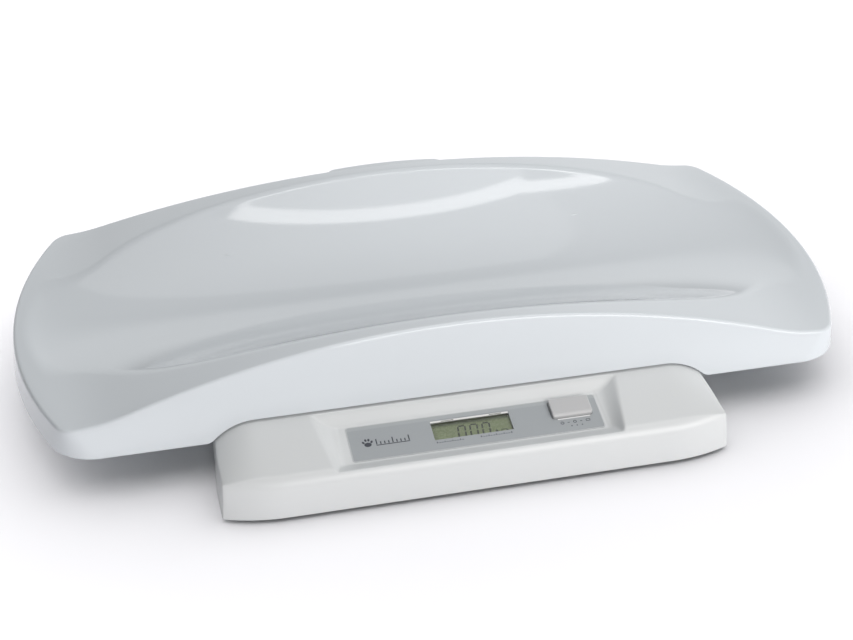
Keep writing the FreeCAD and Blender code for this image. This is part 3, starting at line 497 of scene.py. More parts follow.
def clear_window():
    """Thin clear plastic: lets light straight through and keeps a faint gloss."""
    n = Nodes("clear_window")
    clear = n.tree.nodes.new("ShaderNodeBsdfTransparent")
    clear.inputs["Color"].default_value = (0.96, 0.965, 0.96, 1.0)
    gloss = n.tree.nodes.new("ShaderNodeBsdfGlossy")
    dust = n.noise(700.0, 4.0, 0.7)
    n.link(n.spread(dust, 0.3, 0.7, 0.03, 0.09), gloss.inputs["Roughness"])
    fresnel = n.tree.nodes.new("ShaderNodeFresnel")
    fresnel.inputs["IOR"].default_value = 1.35
    mix = n.tree.nodes.new("ShaderNodeMixShader")
    n.link(fresnel.outputs[0], mix.inputs["Fac"])
    n.link(clear.outputs[0], mix.inputs[1])
    n.link(gloss.outputs[0], mix.inputs[2])
    n.link(mix.outputs[0], n.tree.nodes["Material Output"].inputs["Surface"])
    return n.material


def board_laminate():
    """Green solder mask with a faint glass weave."""
    n = Nodes("board_laminate")
    weave = n.tree.nodes.new("ShaderNodeTexWave")
    weave.inputs["Scale"].default_value = 900.0
    weave.inputs["Distortion"].default_value = 1.5
    n.link(n.coord, weave.inputs["Vector"])
    n.color(n.tint(weave.outputs["Fac"], [(0.0, (0.012, 0.10, 0.045)), (1.0, (0.018, 0.14, 0.06))]))
    n.rough(n.spread(n.noise(300.0), 0.3, 0.7, 0.25, 0.4))
    n.bump(weave.outputs["Fac"], 0.3, 0.00002)
    return n.material


def battery_wrap():
    """Printed battery sleeve: dark body with a copper band at one end."""
    n = Nodes("battery_wrap")
    bands = calculate(n.tree, "FRACT", n.spread(n.axis(0), -0.055, 0.055, 0.0, 2.2))
    n.color(n.tint(bands, [(0.0, (0.45, 0.17, 0.04)), (0.28, (0.45, 0.17, 0.04)),
                           (0.3, (0.02, 0.02, 0.022)), (1.0, (0.025, 0.025, 0.028))]))
    n.rough(n.spread(n.noise(400.0), 0.3, 0.7, 0.2, 0.32))
    n.bump(n.noise(200.0), 0.3, 0.00003)
    n.set(Metallic=0.3)
    return n.material


# ---------------------------------------------------------------- tray
def cap_height(x):
    """Height of the rim's arched top line."""
    arch_z = RIM_APEX_Z - RIM_ARCH_R
    rise = RIM_END_Z + RIM_BLEND_R - arch_z
    level_x = math.sqrt((RIM_ARCH_R + RIM_BLEND_R) ** 2 - rise ** 2)
    arch_x = level_x * RIM_ARCH_R / (RIM_ARCH_R + RIM_BLEND_R)
    x = abs(x)
    if x < arch_x:
        return arch_z + math.sqrt(RIM_ARCH_R ** 2 - x * x)
    if x < level_x:
        return RIM_END_Z + RIM_BLEND_R - math.sqrt(RIM_BLEND_R ** 2 - (level_x - x) ** 2)
    return RIM_END_Z


def trough_height(x, y):
    fade = 1.0 - (x / TROUGH_FLAT_X) ** 2
    curve = TROUGH_MIN_CURVE + (TROUGH_CURVE - TROUGH_MIN_CURVE) * max(fade, 0.0)
    end_rise = TROUGH_END_RISE * (abs(x) / TROUGH_HALF_LENGTH) ** TROUGH_END_POWER
    return TROUGH_Z + curve * y * y + end_rise


def crease_blend(x):
    return max(CREASE_MIN, CREASE_BLEND * (1.0 - (x / CREASE_FADE_X) ** 2))


def tray_top(x, y):
    return smooth_min(cap_height(x), trough_height(x, y), crease_blend(x))


def passage_height(x):
    """Lower edge of the front skirt, which opens over the console."""
    top = CONSOLE_TOP_Z + TRAY_GAP
    low_x = SIDE_X - SIDE_LEAN * (SKIRT_Z - FOOT_H) + TRAY_GAP
    reach = low_x - SHOULDER_X
    drop = top - SKIRT_Z
    radius = (reach ** 2 + drop ** 2) / (2.0 * drop)
    x = abs(x)
    if x <= SHOULDER_X:
        return top
    if x >= low_x:
        return SKIRT_Z
    return top - radius + math.sqrt(radius ** 2 - (x - SHOULDER_X) ** 2)


STRAIGHT_X = [4.0 * i for i in range(34)] + [134.5, 137, 141, 145, 149, 153, 157, 160, 162.5, 166, 170]
STRAIGHT_STEPS = 10
CORNER_STEPS = 12
END_STEPS = 44
HEIGHT_STEPS = 56
SMALLEST_CORNER = 3.0
SKIRT_SAMPLE = 6.0           # the skirt's slope is read this far below the rim


def plan_loop(inset, z):
    """The tray's outline at height z as (x, y, outward x, outward y, on the front side)."""
    depth = SKIRT_HALF_DEPTH - SKIRT_DRAFT * (z - SKIRT_Z) - inset
    radius = END_R - END_DRAFT * (z - SKIRT_Z) - inset
    share = min(max((z - SKIRT_Z) / (RIM_END_Z - SKIRT_Z), 0.0), 1.0)
    corner = max(lerp(CORNER_R_LOW, CORNER_R_HIGH, share) - inset, SMALLEST_CORNER)
    cx, cy = END_CENTRE
    half = []
    arcs = []
    for side in (-1, 1):
        fy = side * (depth - corner)
        fx = cx + math.sqrt((radius - corner) ** 2 - (fy - cy) ** 2)
        arcs.append((fx, fy, math.atan2(fy - cy, fx - cx)))
    (front_x, front_y, start), (rear_x, rear_y, stop) = arcs
    for x in STRAIGHT_X + steps(STRAIGHT_X[-1], front_x, STRAIGHT_STEPS)[1:]:
        half.append((x, -depth, 0.0, -1.0, True))
    for a in steps(-math.pi / 2, start, CORNER_STEPS)[1:]:
        half.append((front_x + corner * math.cos(a), front_y + corner * math.sin(a),
                     math.cos(a), math.sin(a), True))
    for a in steps(start, stop, END_STEPS)[1:]:
        half.append((cx + radius * math.cos(a), cy + radius * math.sin(a),
                     math.cos(a), math.sin(a), False))
    for a in steps(stop, math.pi / 2, CORNER_STEPS)[1:]:
        half.append((rear_x + corner * math.cos(a), rear_y + corner * math.sin(a),
                     math.cos(a), math.sin(a), False))
    for x in reversed(STRAIGHT_X + steps(STRAIGHT_X[-1], rear_x, STRAIGHT_STEPS)[1:-1]):
        half.append((x, depth, 0.0, 1.0, False))
    mirrored = [(-x, y, -nx, ny, front) for x, y, nx, ny, front in half[-2:0:-1]]
    return half + mirrored


def loop_table(inset):
    """Plan loops at close heights, so that a point can be read at any height."""
    heights = steps(SKIRT_Z - 1.0, RIM_APEX_Z + 1.0, HEIGHT_STEPS)
    return heights, [plan_loop(inset, z) for z in heights]


def at_height(table, index, z):
    heights, loops = table
    gap = heights[1] - heights[0]
    k = min(max((z - heights[0]) / gap, 0.0), len(heights) - 1.001)
    low = int(k)
    a, b = loops[low][index], loops[low + 1][index]
    values = [lerp(a[i], b[i], k - low) for i in range(4)]
    return values + [a[4]]


def rim_point(table, index, drop):
    """Where the wall's line meets the rim's height, less drop."""
    z = RIM_END_Z
    for _ in range(12):
        x = at_height(table, index, z)[0]
        z = cap_height(x) - drop
    return z


def crease_shares(edge, spine):
    """Shares of the way from the rim to the spine where the crease starts and ends."""
    def gap(t):
        x, y = lerp(edge[0], spine[0], t), lerp(edge[1], spine[1], t)
        return trough_height(x, y) - cap_height(x), crease_blend(x)

    found = []
    for sign in (1.0, -1.0):
        low, high = 0.0, 1.0
        for _ in range(30):
            mid = (low + high) / 2
            value, blend = gap(mid)
            if value > sign * blend:
                low = mid
            else:
                high = mid
        found.append(high)
    return found


def spine_below(edge):
    """The point on the trough's middle line that a mesh column from edge runs to."""
    return max(-TROUGH_SPINE_X, min(TROUGH_SPINE_X, edge[0])), 0.0


def skirt_part(outer, index, outside, inside, bottom):
    """Column of the lower lip and the outer skirt, up to the rim's rounding."""
    rim_z = rim_point(outer, index, 0.0)
    nx, ny = outside[2:4]
    corner = Vector((*at_height(outer, index, rim_z)[:2], rim_z))
    below_z = rim_z - SKIRT_SAMPLE
    below = at_height(outer, index, below_z)
    down = (Vector((below[0], below[1], below_z)) - corner).normalized()
    rim_nx, rim_ny = at_height(outer, index, rim_z)[2:4]
    inward = Vector((-rim_nx, -rim_ny, 0.0))
    half_angle = down.angle(inward) / 2
    reach = RIM_EDGE_R / math.tan(half_angle)
    centre = corner + (down + inward).normalized() * RIM_EDGE_R / math.sin(half_angle)
    low_tangent = corner + down * reach
    column = [(lerp(outside[0], inside[0], 0.5), lerp(outside[1], inside[1], 0.5), bottom)]
    for a in steps(-math.pi / 2, 0.0, 3):
        back = SKIRT_LIP * (1 - math.cos(a))
        column.append((outside[0] - nx * back, outside[1] - ny * back,
                       bottom + SKIRT_LIP * (1 + math.sin(a))))
    for z in steps(bottom + SKIRT_LIP, low_tangent.z, 9)[1:]:
        p = at_height(outer, index, z)
        column.append((p[0], p[1], z))
    start = (low_tangent - centre).normalized()
    stop = (corner + inward * reach - centre).normalized()
    for direction in turn(start, stop, 8)[1:]:
        column.append(tuple(centre + direction * RIM_EDGE_R))
    return column


def trough_part(edge):
    """Column of the rim's land, the crease and the trough, from the rim's rounding inward."""
    spine = spine_below(edge)
    first, last = crease_shares(edge, spine)
    # the mesh rings stay apart where the land is narrow
    first = max(first, 0.004)
    last = max(last, first + 0.01)
    shares = steps(0.0, first, 5)[1:] + steps(first, last, 12)[1:]
    shares += [1.0 - (1.0 - last) * (1.0 - t) for t in steps(0.0, 1.0, 34)[1:]]
    column = []
    for t in shares:
        x, y = lerp(edge[0], spine[0], t), lerp(edge[1], spine[1], t)
        column.append((x, y, tray_top(x, y)))
    return column


def underside_part(inner, index, outside, inside, bottom):
    """Column of the inner side, from the lip to the middle line."""
    nx, ny = outside[2:4]
    across, up = INNER_LIP
    column = [(inside[0] + nx * across, inside[1] + ny * across, bottom),
              (inside[0], inside[1], bottom + up)]
    for z in steps(bottom + up, rim_point(inner, index, TRAY_WALL), 6)[1:]:
        p = at_height(inner, index, z)
        column.append((p[0], p[1], z))
    edge = column[-1]
    spine = spine_below(edge)
    for t in steps(0.0, 1.0, 26)[1:]:
        x, y = lerp(edge[0], spine[0], t), lerp(edge[1], spine[1], t)
        column.append((x, y, min(cap_height(x) - TRAY_WALL, trough_height(x, y) - UNDER_WALL)))
    return column


def tray_shell(build):
    outer = loop_table(0.0)
    inner = loop_table(TRAY_WALL)
    columns = []
    for i in range(len(outer[1][0])):
        foot = at_height(outer, i, SKIRT_Z)
        over_console = foot[4] and abs(foot[0]) <= STRAIGHT_X[-1]
        bottom = passage_height(foot[0]) if over_console else SKIRT_Z
        outside = at_height(outer, i, bottom)
        inside = at_height(inner, i, bottom)
        column = skirt_part(outer, i, outside, inside, bottom)
        column += trough_part(column[-1])
        upper = len(column)
        columns.append(column + underside_part(inner, i, outside, inside, bottom))
    rows = [build.row([column[k] for column in columns]) for k in range(len(columns[0]))]
    build.skin(rows[:upper], closed=True)
    under = [rows[0]] + rows[upper:]
    build.skin([list(reversed(r)) for r in under], closed=True)


def tray_ribs(build):
    """Ribs and spigots under the trough, buried in its shell at the top."""
    sx, sy = SPIGOT
    foot_z = RIB_LOW_Z + RIB_CHAMFER
    foot_w = RIB_HALF - RIB_CHAMFER

    def web(x, y):
        return trough_height(x, y) - RIB_BURIED

    for side in (-1, 1):
        for along in (0, 1):
            reach = (sx, sy)[along]
            loops = []
            for t in steps(-reach, reach, 24):
                middle = (t, side * sy) if along == 0 else (side * sx, t)
                across = (0.0, 1.0) if along == 0 else (1.0, 0.0)
                top = web(*middle)
                outline = ((-RIB_HALF, foot_z), (-foot_w, RIB_LOW_Z), (foot_w, RIB_LOW_Z),
                           (RIB_HALF, foot_z), (RIB_HALF, top), (-RIB_HALF, top))
                loops.append([(middle[0] + across[0] * w, middle[1] + across[1] * w, z)
                              for w, z in outline])
            build.tube(loops)
        for other in (-1, 1):
            x, y = side * sx, other * sy
            soft_post(build, x, y, SPIGOT_LOW_Z, web(x, y) - 1.0, SPIGOT_R, 0.6, 40)
            soft_post(build, x, y, *PIN_Z, PIN_R, 0.8, 28)


def rear_grip(build):
    """Ledge behind the rear rim, its top arched like the rim."""
    low_z = GRIP_TOP_Z - GRIP_THICK
    edge = GRIP_EDGE_R
    straight = GRIP_HALF_WIDTH - GRIP_CORNER_R

    def section(x):
        top_z = GRIP_TOP_Z - GRIP_ARCH_R + math.sqrt(GRIP_ARCH_R ** 2 - x * x)
        over = max(abs(x) - straight, 0.0)
        rear = GRIP_Y - GRIP_CORNER_R + math.sqrt(max(GRIP_CORNER_R ** 2 - over ** 2, 0.0))
        outline = [(GRIP_ROOT_Y, low_z)]
        outline += [(rear - edge + edge * math.sin(a), low_z + edge * (1 - math.cos(a)))
                    for a in steps(0.0, math.pi / 2, 4)]
        outline += [(rear - edge * (1 - math.cos(a)), top_z - edge * (1 - math.sin(a)))
                    for a in steps(0.0, math.pi / 2, 4)]
        outline += [(GRIP_ROOT_Y, top_z)]
        return [(x, y, z) for y, z in outline]

    corner = [straight + GRIP_CORNER_R * math.sin(a) for a in steps(0.0, math.pi / 2, 8)]
    columns = [-x for x in reversed(corner)] + steps(-straight, straight, 24)[1:-1] + corner
    build.tube([section(x) for x in columns])


def make_tray(material):
    build = Build()
    tray_shell(build)
    tray_ribs(build)
    rear_grip(build)
    tray = build.piece("tray_shell", material, sharp_deg=32.0)
    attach(tray, "weighing_tray")
    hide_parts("tray")


# ---------------------------------------------------------------- base housing
def half_width(y, inset):
    corner_y = REAR_Y - REAR_CORNER_R
    if y <= SIDE_BREAK_Y:
        return SIDE_X - inset
    if y <= corner_y:
        return lerp(SIDE_X, REAR_X, (y - SIDE_BREAK_Y) / (corner_y - SIDE_BREAK_Y)) - inset
    radius = REAR_CORNER_R - inset
    return REAR_X - REAR_CORNER_R + math.sqrt(max(radius ** 2 - (y - corner_y) ** 2, 0.0))


def side_lean(y):
    """Inward lean of the side wall at y; it dies out towards the rear corners."""
    share = (y - SIDE_BREAK_Y) / (REAR_Y - REAR_CORNER_R - SIDE_BREAK_Y)
    return SIDE_LEAN * (1.0 - min(max(share, 0.0), 1.0))


def front_bulge(x, inset):
    """How far the front has curved back at x."""
    over = max(abs(x) - FRONT_STRAIGHT_X, 0.0)
    radius = FRONT_ARC_R - inset
    return radius - math.sqrt(radius ** 2 - over ** 2)


def slope_height(y):
    """The console's top without its shoulders, and the deck behind it."""
    if y <= GAP_Y:
        return CONSOLE_TOP_Z + CONSOLE_SLOPE * (y - GAP_Y)
    if y <= PLATEAU_REAR_Y:
        return CONSOLE_TOP_Z
    share = min((y - PLATEAU_REAR_Y) / STEP_RUN, 1.0)
    return lerp(CONSOLE_TOP_Z, DECK_Z, share)


def shoulder_height(x, y):
    """The top falls off sideways, more and more towards the tray."""
    over = min(abs(x) - SHOULDER_X, SHOULDER_R * SHOULDER_REACH)
    if over <= 0.0 or y <= SHOULDER_FRONT_Y or y > PLATEAU_REAR_Y + STEP_RUN:
        return NO_LIMIT
    arc = CONSOLE_TOP_Z - SHOULDER_R + math.sqrt(SHOULDER_R ** 2 - over ** 2)
    if y >= GAP_Y:
        return arc
    front = slope_height(SHOULDER_FRONT_Y)
    return lerp(front, arc, (y - SHOULDER_FRONT_Y) / (GAP_Y - SHOULDER_FRONT_Y))


def recess_height(x, y, grow):
    """The dished recess round the panel, without its limits."""
    tan = math.tan(PANEL_SLOPE)
    floor = PANEL_Z + (y - PANEL_Y) * tan - (LABEL_THICK + grow) / math.cos(PANEL_SLOPE)
    top_y = PANEL_Y + (PANEL_TOP_V + grow) * math.cos(PANEL_SLOPE)
    top_z = floor + (top_y - y) * tan
    ridge_y = GAP_Y - RIDGE_SETBACK + grow
    upper = top_z + (y - top_y) * (slope_height(ridge_y) - top_z) / (ridge_y - top_y)
    low_y = PANEL_Y + (PANEL_LOW_V - grow) * math.cos(PANEL_SLOPE)
    low_z = floor + (low_y - y) * tan
    lip_y = LIP_Y - grow
    lower = low_z + (low_y - y) * (slope_height(lip_y) - low_z) / (low_y - lip_y)
    ridge = grow + lerp(RIDGE_LOW_U, RIDGE_TOP_U, min(max((y - lip_y) / (ridge_y - lip_y), 0.0), 1.0))
    out = max((abs(x) - PANEL_HALF_U - grow) / (ridge - PANEL_HALF_U - grow), 0.0)
    side = floor + max(slope_height(y) - floor, 1.0) * out ** DISH_POWER
    dish = smooth_max(floor, upper, 1.0)
    dish = smooth_max(dish, lower, 0.6)
    return max(dish, smooth_max(side, dish, 1.6) if out > 0 else dish)


def near_recess(x, y):
    past_ridge, past_lip = RECESS_REACH
    return y > LIP_Y - past_lip and abs(x) < RIDGE_TOP_U + past_ridge


def housing_top(x, y, inset, grow):
    plain = min(slope_height(y), shoulder_height(x, y)) - inset
    if y > GAP_Y + 2.0 or not near_recess(x, y):
        return plain
    return smooth_min(plain, recess_height(x, y, grow), 1.3)


COLUMN_X = ([4.0 * i for i in range(20)] + [79.0 + 1.0 * i for i in range(24)]
            + [104.0 + 4.0 * i for i in range(8)] + [133.5 + 2.0 * i for i in range(13)])
FINE_Y = (-150.0, -119.0)    # the mesh rows are close between these


def housing_rows():
    """Rows along the profile from the front's lower edge to the rear: kind and share or place."""
    rows = [("front", t) for t in steps(0.0, 1.0, 8)]
    rows += [("nose", t) for t in steps(0.0, 1.0, 22)[1:]]
    rows += [("upper", t) for t in steps(0.0, 1.0, 28)[1:]]
    rows += [("top", y) for y in steps(*FINE_Y, 44)[1:]]
    rows += [("top", y) for y in steps(FINE_Y[1], PLATEAU_REAR_Y, 6)[1:]]
    rows += [("top", PLATEAU_REAR_Y + STEP_RUN * t) for t in (0.25, 0.5, 0.75, 1.0)]
    rows += [("top", y) for y in steps(PLATEAU_REAR_Y + STEP_RUN, REAR_Y - REAR_CORNER_R, 24)[1:]]
    rows += [("rear", t) for t in steps(0.0, 1.0, 10)[1:]]
    return rows


def housing_point(x_share, row, inset, grow, bottom_z):
    """A point on the housing's top or front, in its own column and row."""
    lean = 0.0
    for _ in range(3):
        p = housing_spot(x_share, lean, row, inset, grow, bottom_z)
        lean = side_lean(p[1]) * (p[2] - FOOT_H)
    return p


def housing_spot(x_share, lean, row, inset, grow, bottom_z):
    """The same point, with its column moved in by lean."""
    kind, value = row
    edge = inset + EDGE_SOFT
    x = x_share * (SIDE_X - edge - lean)
    bulge = front_bulge(x, inset)

    def front_y(z):
        return FRONT_Y + inset + FRONT_LEAN * (z - FOOT_H) + bulge

    if kind in ("front", "nose", "upper"):
        # the front face and the sloping top meet here
        drop = inset * math.hypot(1.0, CONSOLE_SLOPE)
        level = CONSOLE_TOP_Z - drop + CONSOLE_SLOPE * (front_y(FOOT_H) - GAP_Y)
        meet_z = (level - CONSOLE_SLOPE * FRONT_LEAN * FOOT_H) / (1.0 - CONSOLE_SLOPE * FRONT_LEAN)
        meet = Vector((0.0, front_y(meet_z), meet_z))
        down = Vector((0.0, -FRONT_LEAN, -1.0)).normalized()
        back = Vector((0.0, 1.0, CONSOLE_SLOPE)).normalized()
        half_angle = down.angle(back) / 2
        radius = NOSE_R - inset
        reach = radius / math.tan(half_angle)
        if kind == "front":
            low = meet + down * reach
            z = lerp(bottom_z, low.z, value)
            return x, front_y(z), z
        centre = meet + (down + back).normalized() * radius / math.sin(half_angle)
        start = (meet + down * reach - centre).normalized()
        stop = (meet + back * reach - centre).normalized()
        if kind == "nose":
            angle = start.angle(stop)
            mix = start * math.sin(angle * (1 - value)) + stop * math.sin(angle * value)
            p = centre + mix / math.sin(angle) * radius
            z = min(p.z, shoulder_height(x, p.y) - drop)
            if near_recess(x, p.y):
                z = smooth_min(z, recess_height(x, p.y, grow), 1.0)
            return x, p.y, z
        y = lerp((meet + back * reach).y, FINE_Y[0], value)
        return x, y, housing_top(x, y, drop, grow)
    corner_y = REAR_Y - REAR_CORNER_R
    if kind == "top":
        y = value
        drop = inset * math.hypot(1.0, CONSOLE_SLOPE) if y < GAP_Y else inset
    else:
        radius = REAR_CORNER_R - edge
        even = lerp(corner_y, REAR_Y - edge, value)
        swung = corner_y + radius * math.sin(value * math.pi / 2)
        y = lerp(even, swung, abs(x_share) ** 3)
        drop = inset
    x = x_share * (half_width(y, edge) - lean)
    return x, y, housing_top(x, y, drop, grow)


def side_normal(y, side):
    """Outward normal of the housing's side wall in plan."""
    corner_y = REAR_Y - REAR_CORNER_R
    if y <= SIDE_BREAK_Y:
        return Vector((side, 0.0, SIDE_LEAN)).normalized()
    if y <= corner_y:
        run = corner_y - SIDE_BREAK_Y
        return Vector((side * run, SIDE_X - REAR_X, side_lean(y) * run)).normalized()
    angle = math.asin(min((y - corner_y) / (REAR_CORNER_R - EDGE_SOFT), 1.0))
    return Vector((side * math.cos(angle), math.sin(angle), 0.0))


def housing_skin(build, inset, grow, bottom_z):
    """One skin of the housing. Returns its lower edge as a loop of vertex numbers."""
    rows = housing_rows()
    half = [x / COLUMN_X[-1] for x in COLUMN_X]
    shares = [-s for s in reversed(half[1:])] + half
    grid = [[Vector(housing_point(s, row, inset, grow, bottom_z)) for s in shares] for row in rows]
    last = len(rows) - 1
    right_end = len(shares) - 1
    left_side = [(k, 0) for k in range(last, -1, -1)]
    right_side = [(k, right_end) for k in range(last + 1)]
    rear_side = [(last, j) for j in range(right_end - 1, 0, -1)]
    ids = [build.row([tuple(p) for p in line]) for line in grid]
    build.skin([list(reversed(line)) for line in ids])

    def rounded(k, j):
        """Points of the rounding between the top and the outer wall at a border point."""
        p = grid[k][j]
        normal = Vector((0.0, 0.0, 1.0))
        outward = Vector((0.0, 1.0, 0.0))
        if k < last:
            along = grid[k + 1][j] - grid[max(k - 1, 0)][j]
            across = grid[k][min(j + 1, right_end)] - grid[k][max(j - 1, 0)]
            normal = across.cross(along).normalized()
            outward = side_normal(p.y, 1.0 if j else -1.0)
        radius = EDGE_SOFT / max(1.0 - normal.dot(outward), 0.2)
        centre = p - normal * radius
        ring = [centre + direction * radius for direction in turn(normal, outward, 4)][1:]
        for q in ring:
            q.z = bottom_z if k == 0 else max(q.z, bottom_z)
        return ring

    def wall_line(k, j):
        """Vertex numbers from a border point, over the rounding, to the lower edge."""
        ring = rounded(k, j)
        line = [ids[k][j]] + build.row([tuple(q) for q in ring])
        if k == 0:
            return line + line[-1:]
        foot = Vector(ring[-1])
        if j in (0, right_end):
            foot.x += math.copysign(side_lean(foot.y) * (foot.z - bottom_z), foot.x)
        foot.z = bottom_z
        return line + build.row([tuple(foot)])

    left = [wall_line(k, j) for k, j in left_side]
    rest = [wall_line(k, j) for k, j in right_side + rear_side]
    rest.append(left[0])
    for part in (left, rest):
        for a, b in zip(part, part[1:]):
            for m in range(len(a) - 1):
                face = unique([a[m], b[m], b[m + 1], a[m + 1]])
                if len(face) > 2:
                    build.faces.append(tuple(face))
    edge = [line[-1] for line in left] + left[-1][-2:0:-1] + ids[0] + rest[0][1:-2]
    edge += [line[-1] for line in rest[:-1]]
    return edge


def unique(loop):
    """The loop without vertices that follow themselves."""
    kept = []
    for v in loop:
        if not kept or kept[-1] != v:
            kept.append(v)
    if kept[0] == kept[-1]:
        kept.pop()
    return kept


def cutter(name, loops):
    build = Build()
    build.tube(loops)
    return build.piece(name, None, merge=0.0001)


def cut(obj, tools):
    """Subtracts the tools from the piece's mesh and removes them."""
    for tool in tools:
        modifier = obj.modifiers.new("cut", "BOOLEAN")
        modifier.operation = "DIFFERENCE"
        modifier.solver = "EXACT"
        modifier.object = tool
        graph = bpy.context.evaluated_depsgraph_get()
        mesh = bpy.data.meshes.new_from_object(obj.evaluated_get(graph))
        obj.modifiers.clear()
        obj.data = mesh
        bpy.data.objects.remove(tool)


def panel_tool(name, u, v, width, height, radius, low=-12.0, high=3.0):
    plan = rounded_outline(width / 2, height / 2, radius, centre=(u, v))
    return cutter(name, [[on_panel((a, b, w)) for a, b in plan] for w in (low, high)])


def make_housing(material):
    build = Build()
    outer = unique(housing_skin(build, 0.0, 0.0, FOOT_H))
    inner = unique(housing_skin(build, HOUSING_WALL, PANEL_WALL, FOOT_H))
    build.strip(outer, inner, closed=True)
    housing = build.piece("housing_shell", material, sharp_deg=40.0)
    u, v, width, height = WINDOW
    display = panel_tool("display_cut", u, v, width + DISPLAY_MARGIN, height + DISPLAY_MARGIN, 0.1)
    u, v, length, depth = BUTTON
    button = panel_tool("button_cut", u, v, length + BUTTON_MARGIN, depth + BUTTON_MARGIN, 1.8)
    plan = rounded_outline(16.5, 11.0, 4.0, centre=(27.5, 0.0))
    passage = cutter("passage_cut", [[(x, y, z) for x, y in plan] for z in (20.0, 35.0)])
    cut(housing, (display, button, passage))
    tidy(housing.data, 40.0, 0.0005)
    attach(housing, "base")
    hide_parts("console_housing")


def make_bosses(material):
    """Screw bosses inside the housing."""
    build = Build()
    for x, y in SCREWS:
        top = DECK_Z - HOUSING_WALL + 0.5 if y > PLATEAU_REAR_Y else BOSS_TOP_Z
        soft_post(build, x, y, BOSS_LOW_Z, top, BOSS_R, 0.3, 24)
    bosses = build.piece("housing_bosses", material)
    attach(bosses, "base")


# ---------------------------------------------------------------- panel
def flat_print(build, outline, w=PRINT_W):
    """A printed shape on the panel: a closed plan loop raised by the ink's thickness."""
    build.tube([[on_panel((u, v, h)) for u, v in outline] for h in (w, w + INK_THICK)])


def disc(u, v, radius_u, radius_v=None, tilt=0.0, count=20):
    radius_v = radius_v or radius_u
    cos, sin = math.cos(tilt), math.sin(tilt)
    loop = []
    for i in range(count):
        a = 2 * math.pi * i / count
        x, y = radius_u * math.cos(a), radius_v * math.sin(a)
        loop.append((u + x * cos - y * sin, v + x * sin + y * cos))
    return loop


def bar(u0, v0, u1, v1, width):
    """A straight stroke with square ends."""
    along = Vector((u1 - u0, v1 - v0)).normalized()
    side = Vector((-along.y, along.x)) * width / 2
    return [(u0 + side.x, v0 + side.y), (u0 - side.x, v0 - side.y),
            (u1 - side.x, v1 - side.y), (u1 + side.x, v1 + side.y)]


def ring_print(build, u, v, radius, width, start=0.0, stop=2 * math.pi, count=24):
    """A printed ring, or a part of one between two angles."""
    angles = steps(start, stop, count)
    closed = abs(stop - start - 2 * math.pi) < 1e-6
    low, high = PRINT_W, PRINT_W + INK_THICK
    inner, outer = radius - width / 2, radius + width / 2
    rows = [build.row([on_panel((u + r * math.cos(a), v + r * math.sin(a), h)) for a in angles])
            for r, h in ((inner, low), (outer, low), (outer, high), (inner, high))]
    if closed:
        rows = [r[:-1] for r in rows]
    build.skin(rows + rows[:1], closed=closed)
    if not closed:
        build.faces.append(tuple(r[0] for r in rows))
        build.faces.append(tuple(r[-1] for r in reversed(rows)))


def frame_print(build, u0, v0, u1, v1, radius, width, w=PRINT_W):
    """A printed frame between two corners."""
    half = ((u1 - u0) / 2, (v1 - v0) / 2)
    centre = ((u0 + u1) / 2, (v0 + v1) / 2)
    outer = rounded_outline(*half, radius, centre=centre)
    inner = rounded_outline(half[0] - width, half[1] - width, max(radius - width, 0.1), centre=centre)
    high = w + INK_THICK
    rows = [build.row([on_panel((u, v, h)) for u, v in loop])
            for loop, h in ((inner, w), (outer, w), (outer, high), (inner, high))]
    build.skin(rows + rows[:1], closed=True)


def make_label_print(ink, white):
    """Generic marks: a paw, tick rows and button symbols."""
    build = Build()
    paw_u, paw_v = -67.0, 13.6
    flat_print(build, disc(paw_u, paw_v - 0.9, 2.3, 1.75))
    for du, dv, tilt in ((-2.6, 1.1, 0.5), (-0.95, 2.75, 0.15), (0.95, 2.75, -0.15), (2.6, 1.1, -0.5)):
        flat_print(build, disc(paw_u + du, paw_v + dv, 0.72, 1.1, tilt))
    for i in range(9):
        u = -61.5 + 2.55 * i
        flat_print(build, bar(u, 12.0, u, 16.4 if i % 4 == 0 else 14.2, 0.75))
    flat_print(build, bar(-61.9, 11.4, -40.7, 11.4, 0.6))
    for u0, count in ((-24.5, 11), (3.5, 13)):
        for i in range(count):
            tall = 1.25 if i % 3 == 0 else 0.7
            flat_print(build, bar(u0 + 1.62 * i, 6.1, u0 + 1.62 * i, 6.1 + tall, 0.62))
    symbol_v = 8.2
    ring_print(build, 56.3, symbol_v, 0.95, 0.4, math.radians(130), math.radians(410))
    flat_print(build, bar(56.3, 8.3, 56.3, 9.6, 0.4))
    flat_print(build, bar(59.6, 8.1, 61.0, 8.1, 0.4))
    ring_print(build, 64.4, symbol_v, 0.9, 0.42)
    flat_print(build, bar(67.8, 8.1, 69.2, 8.1, 0.4))
    frame_print(build, 71.6, 7.3, 74.4, 9.1, 0.4, 0.38)
    for u in (61.6, 65.0, 68.4):
        flat_print(build, disc(u, 5.0, 0.42, 0.42, count=12))
    marks = build.piece("label_marks", ink)
    pale = Build()
    frame_print(pale, -78.3, 0.5, 82.3, 28.3, 1.9, 0.18)
    flat_print(pale, rounded_outline(10.6, 0.42, 0.3, centre=(BUTTON[0] + 0.6, BUTTON[1] - 8.0)))
    border = pale.piece("label_border", white)
    for piece in (marks, border):
        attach(piece, "base")


def make_display_lip(white, dark):
    """Bright strip along the top of the display window, painted light for the window's lit upper wall,
    with its two slots.
    """
    u, v, width, height = WINDOW
    top = v + height / 2
    w = -LABEL_THICK + 0.03
    lit_wall_strip = Build()
    # painted light: a flat white strip laid on the label stands in for the lit upper wall of the window
    # opening
    flat_print(lit_wall_strip, rounded_outline(width / 2 - 0.1, 0.72, 0.2, centre=(u, top - 0.8)), w)
    slots = Build()
    for u0, u1 in ((-18.5, -10.5), (12.5, 20.5)):
        flat_print(slots, bar(u0, top - 0.85, u1, top - 0.85, 0.5), w + INK_THICK)
    for piece in (lit_wall_strip.piece("display_lip", white), slots.piece("display_lip_slots", dark)):
        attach(piece, "base")


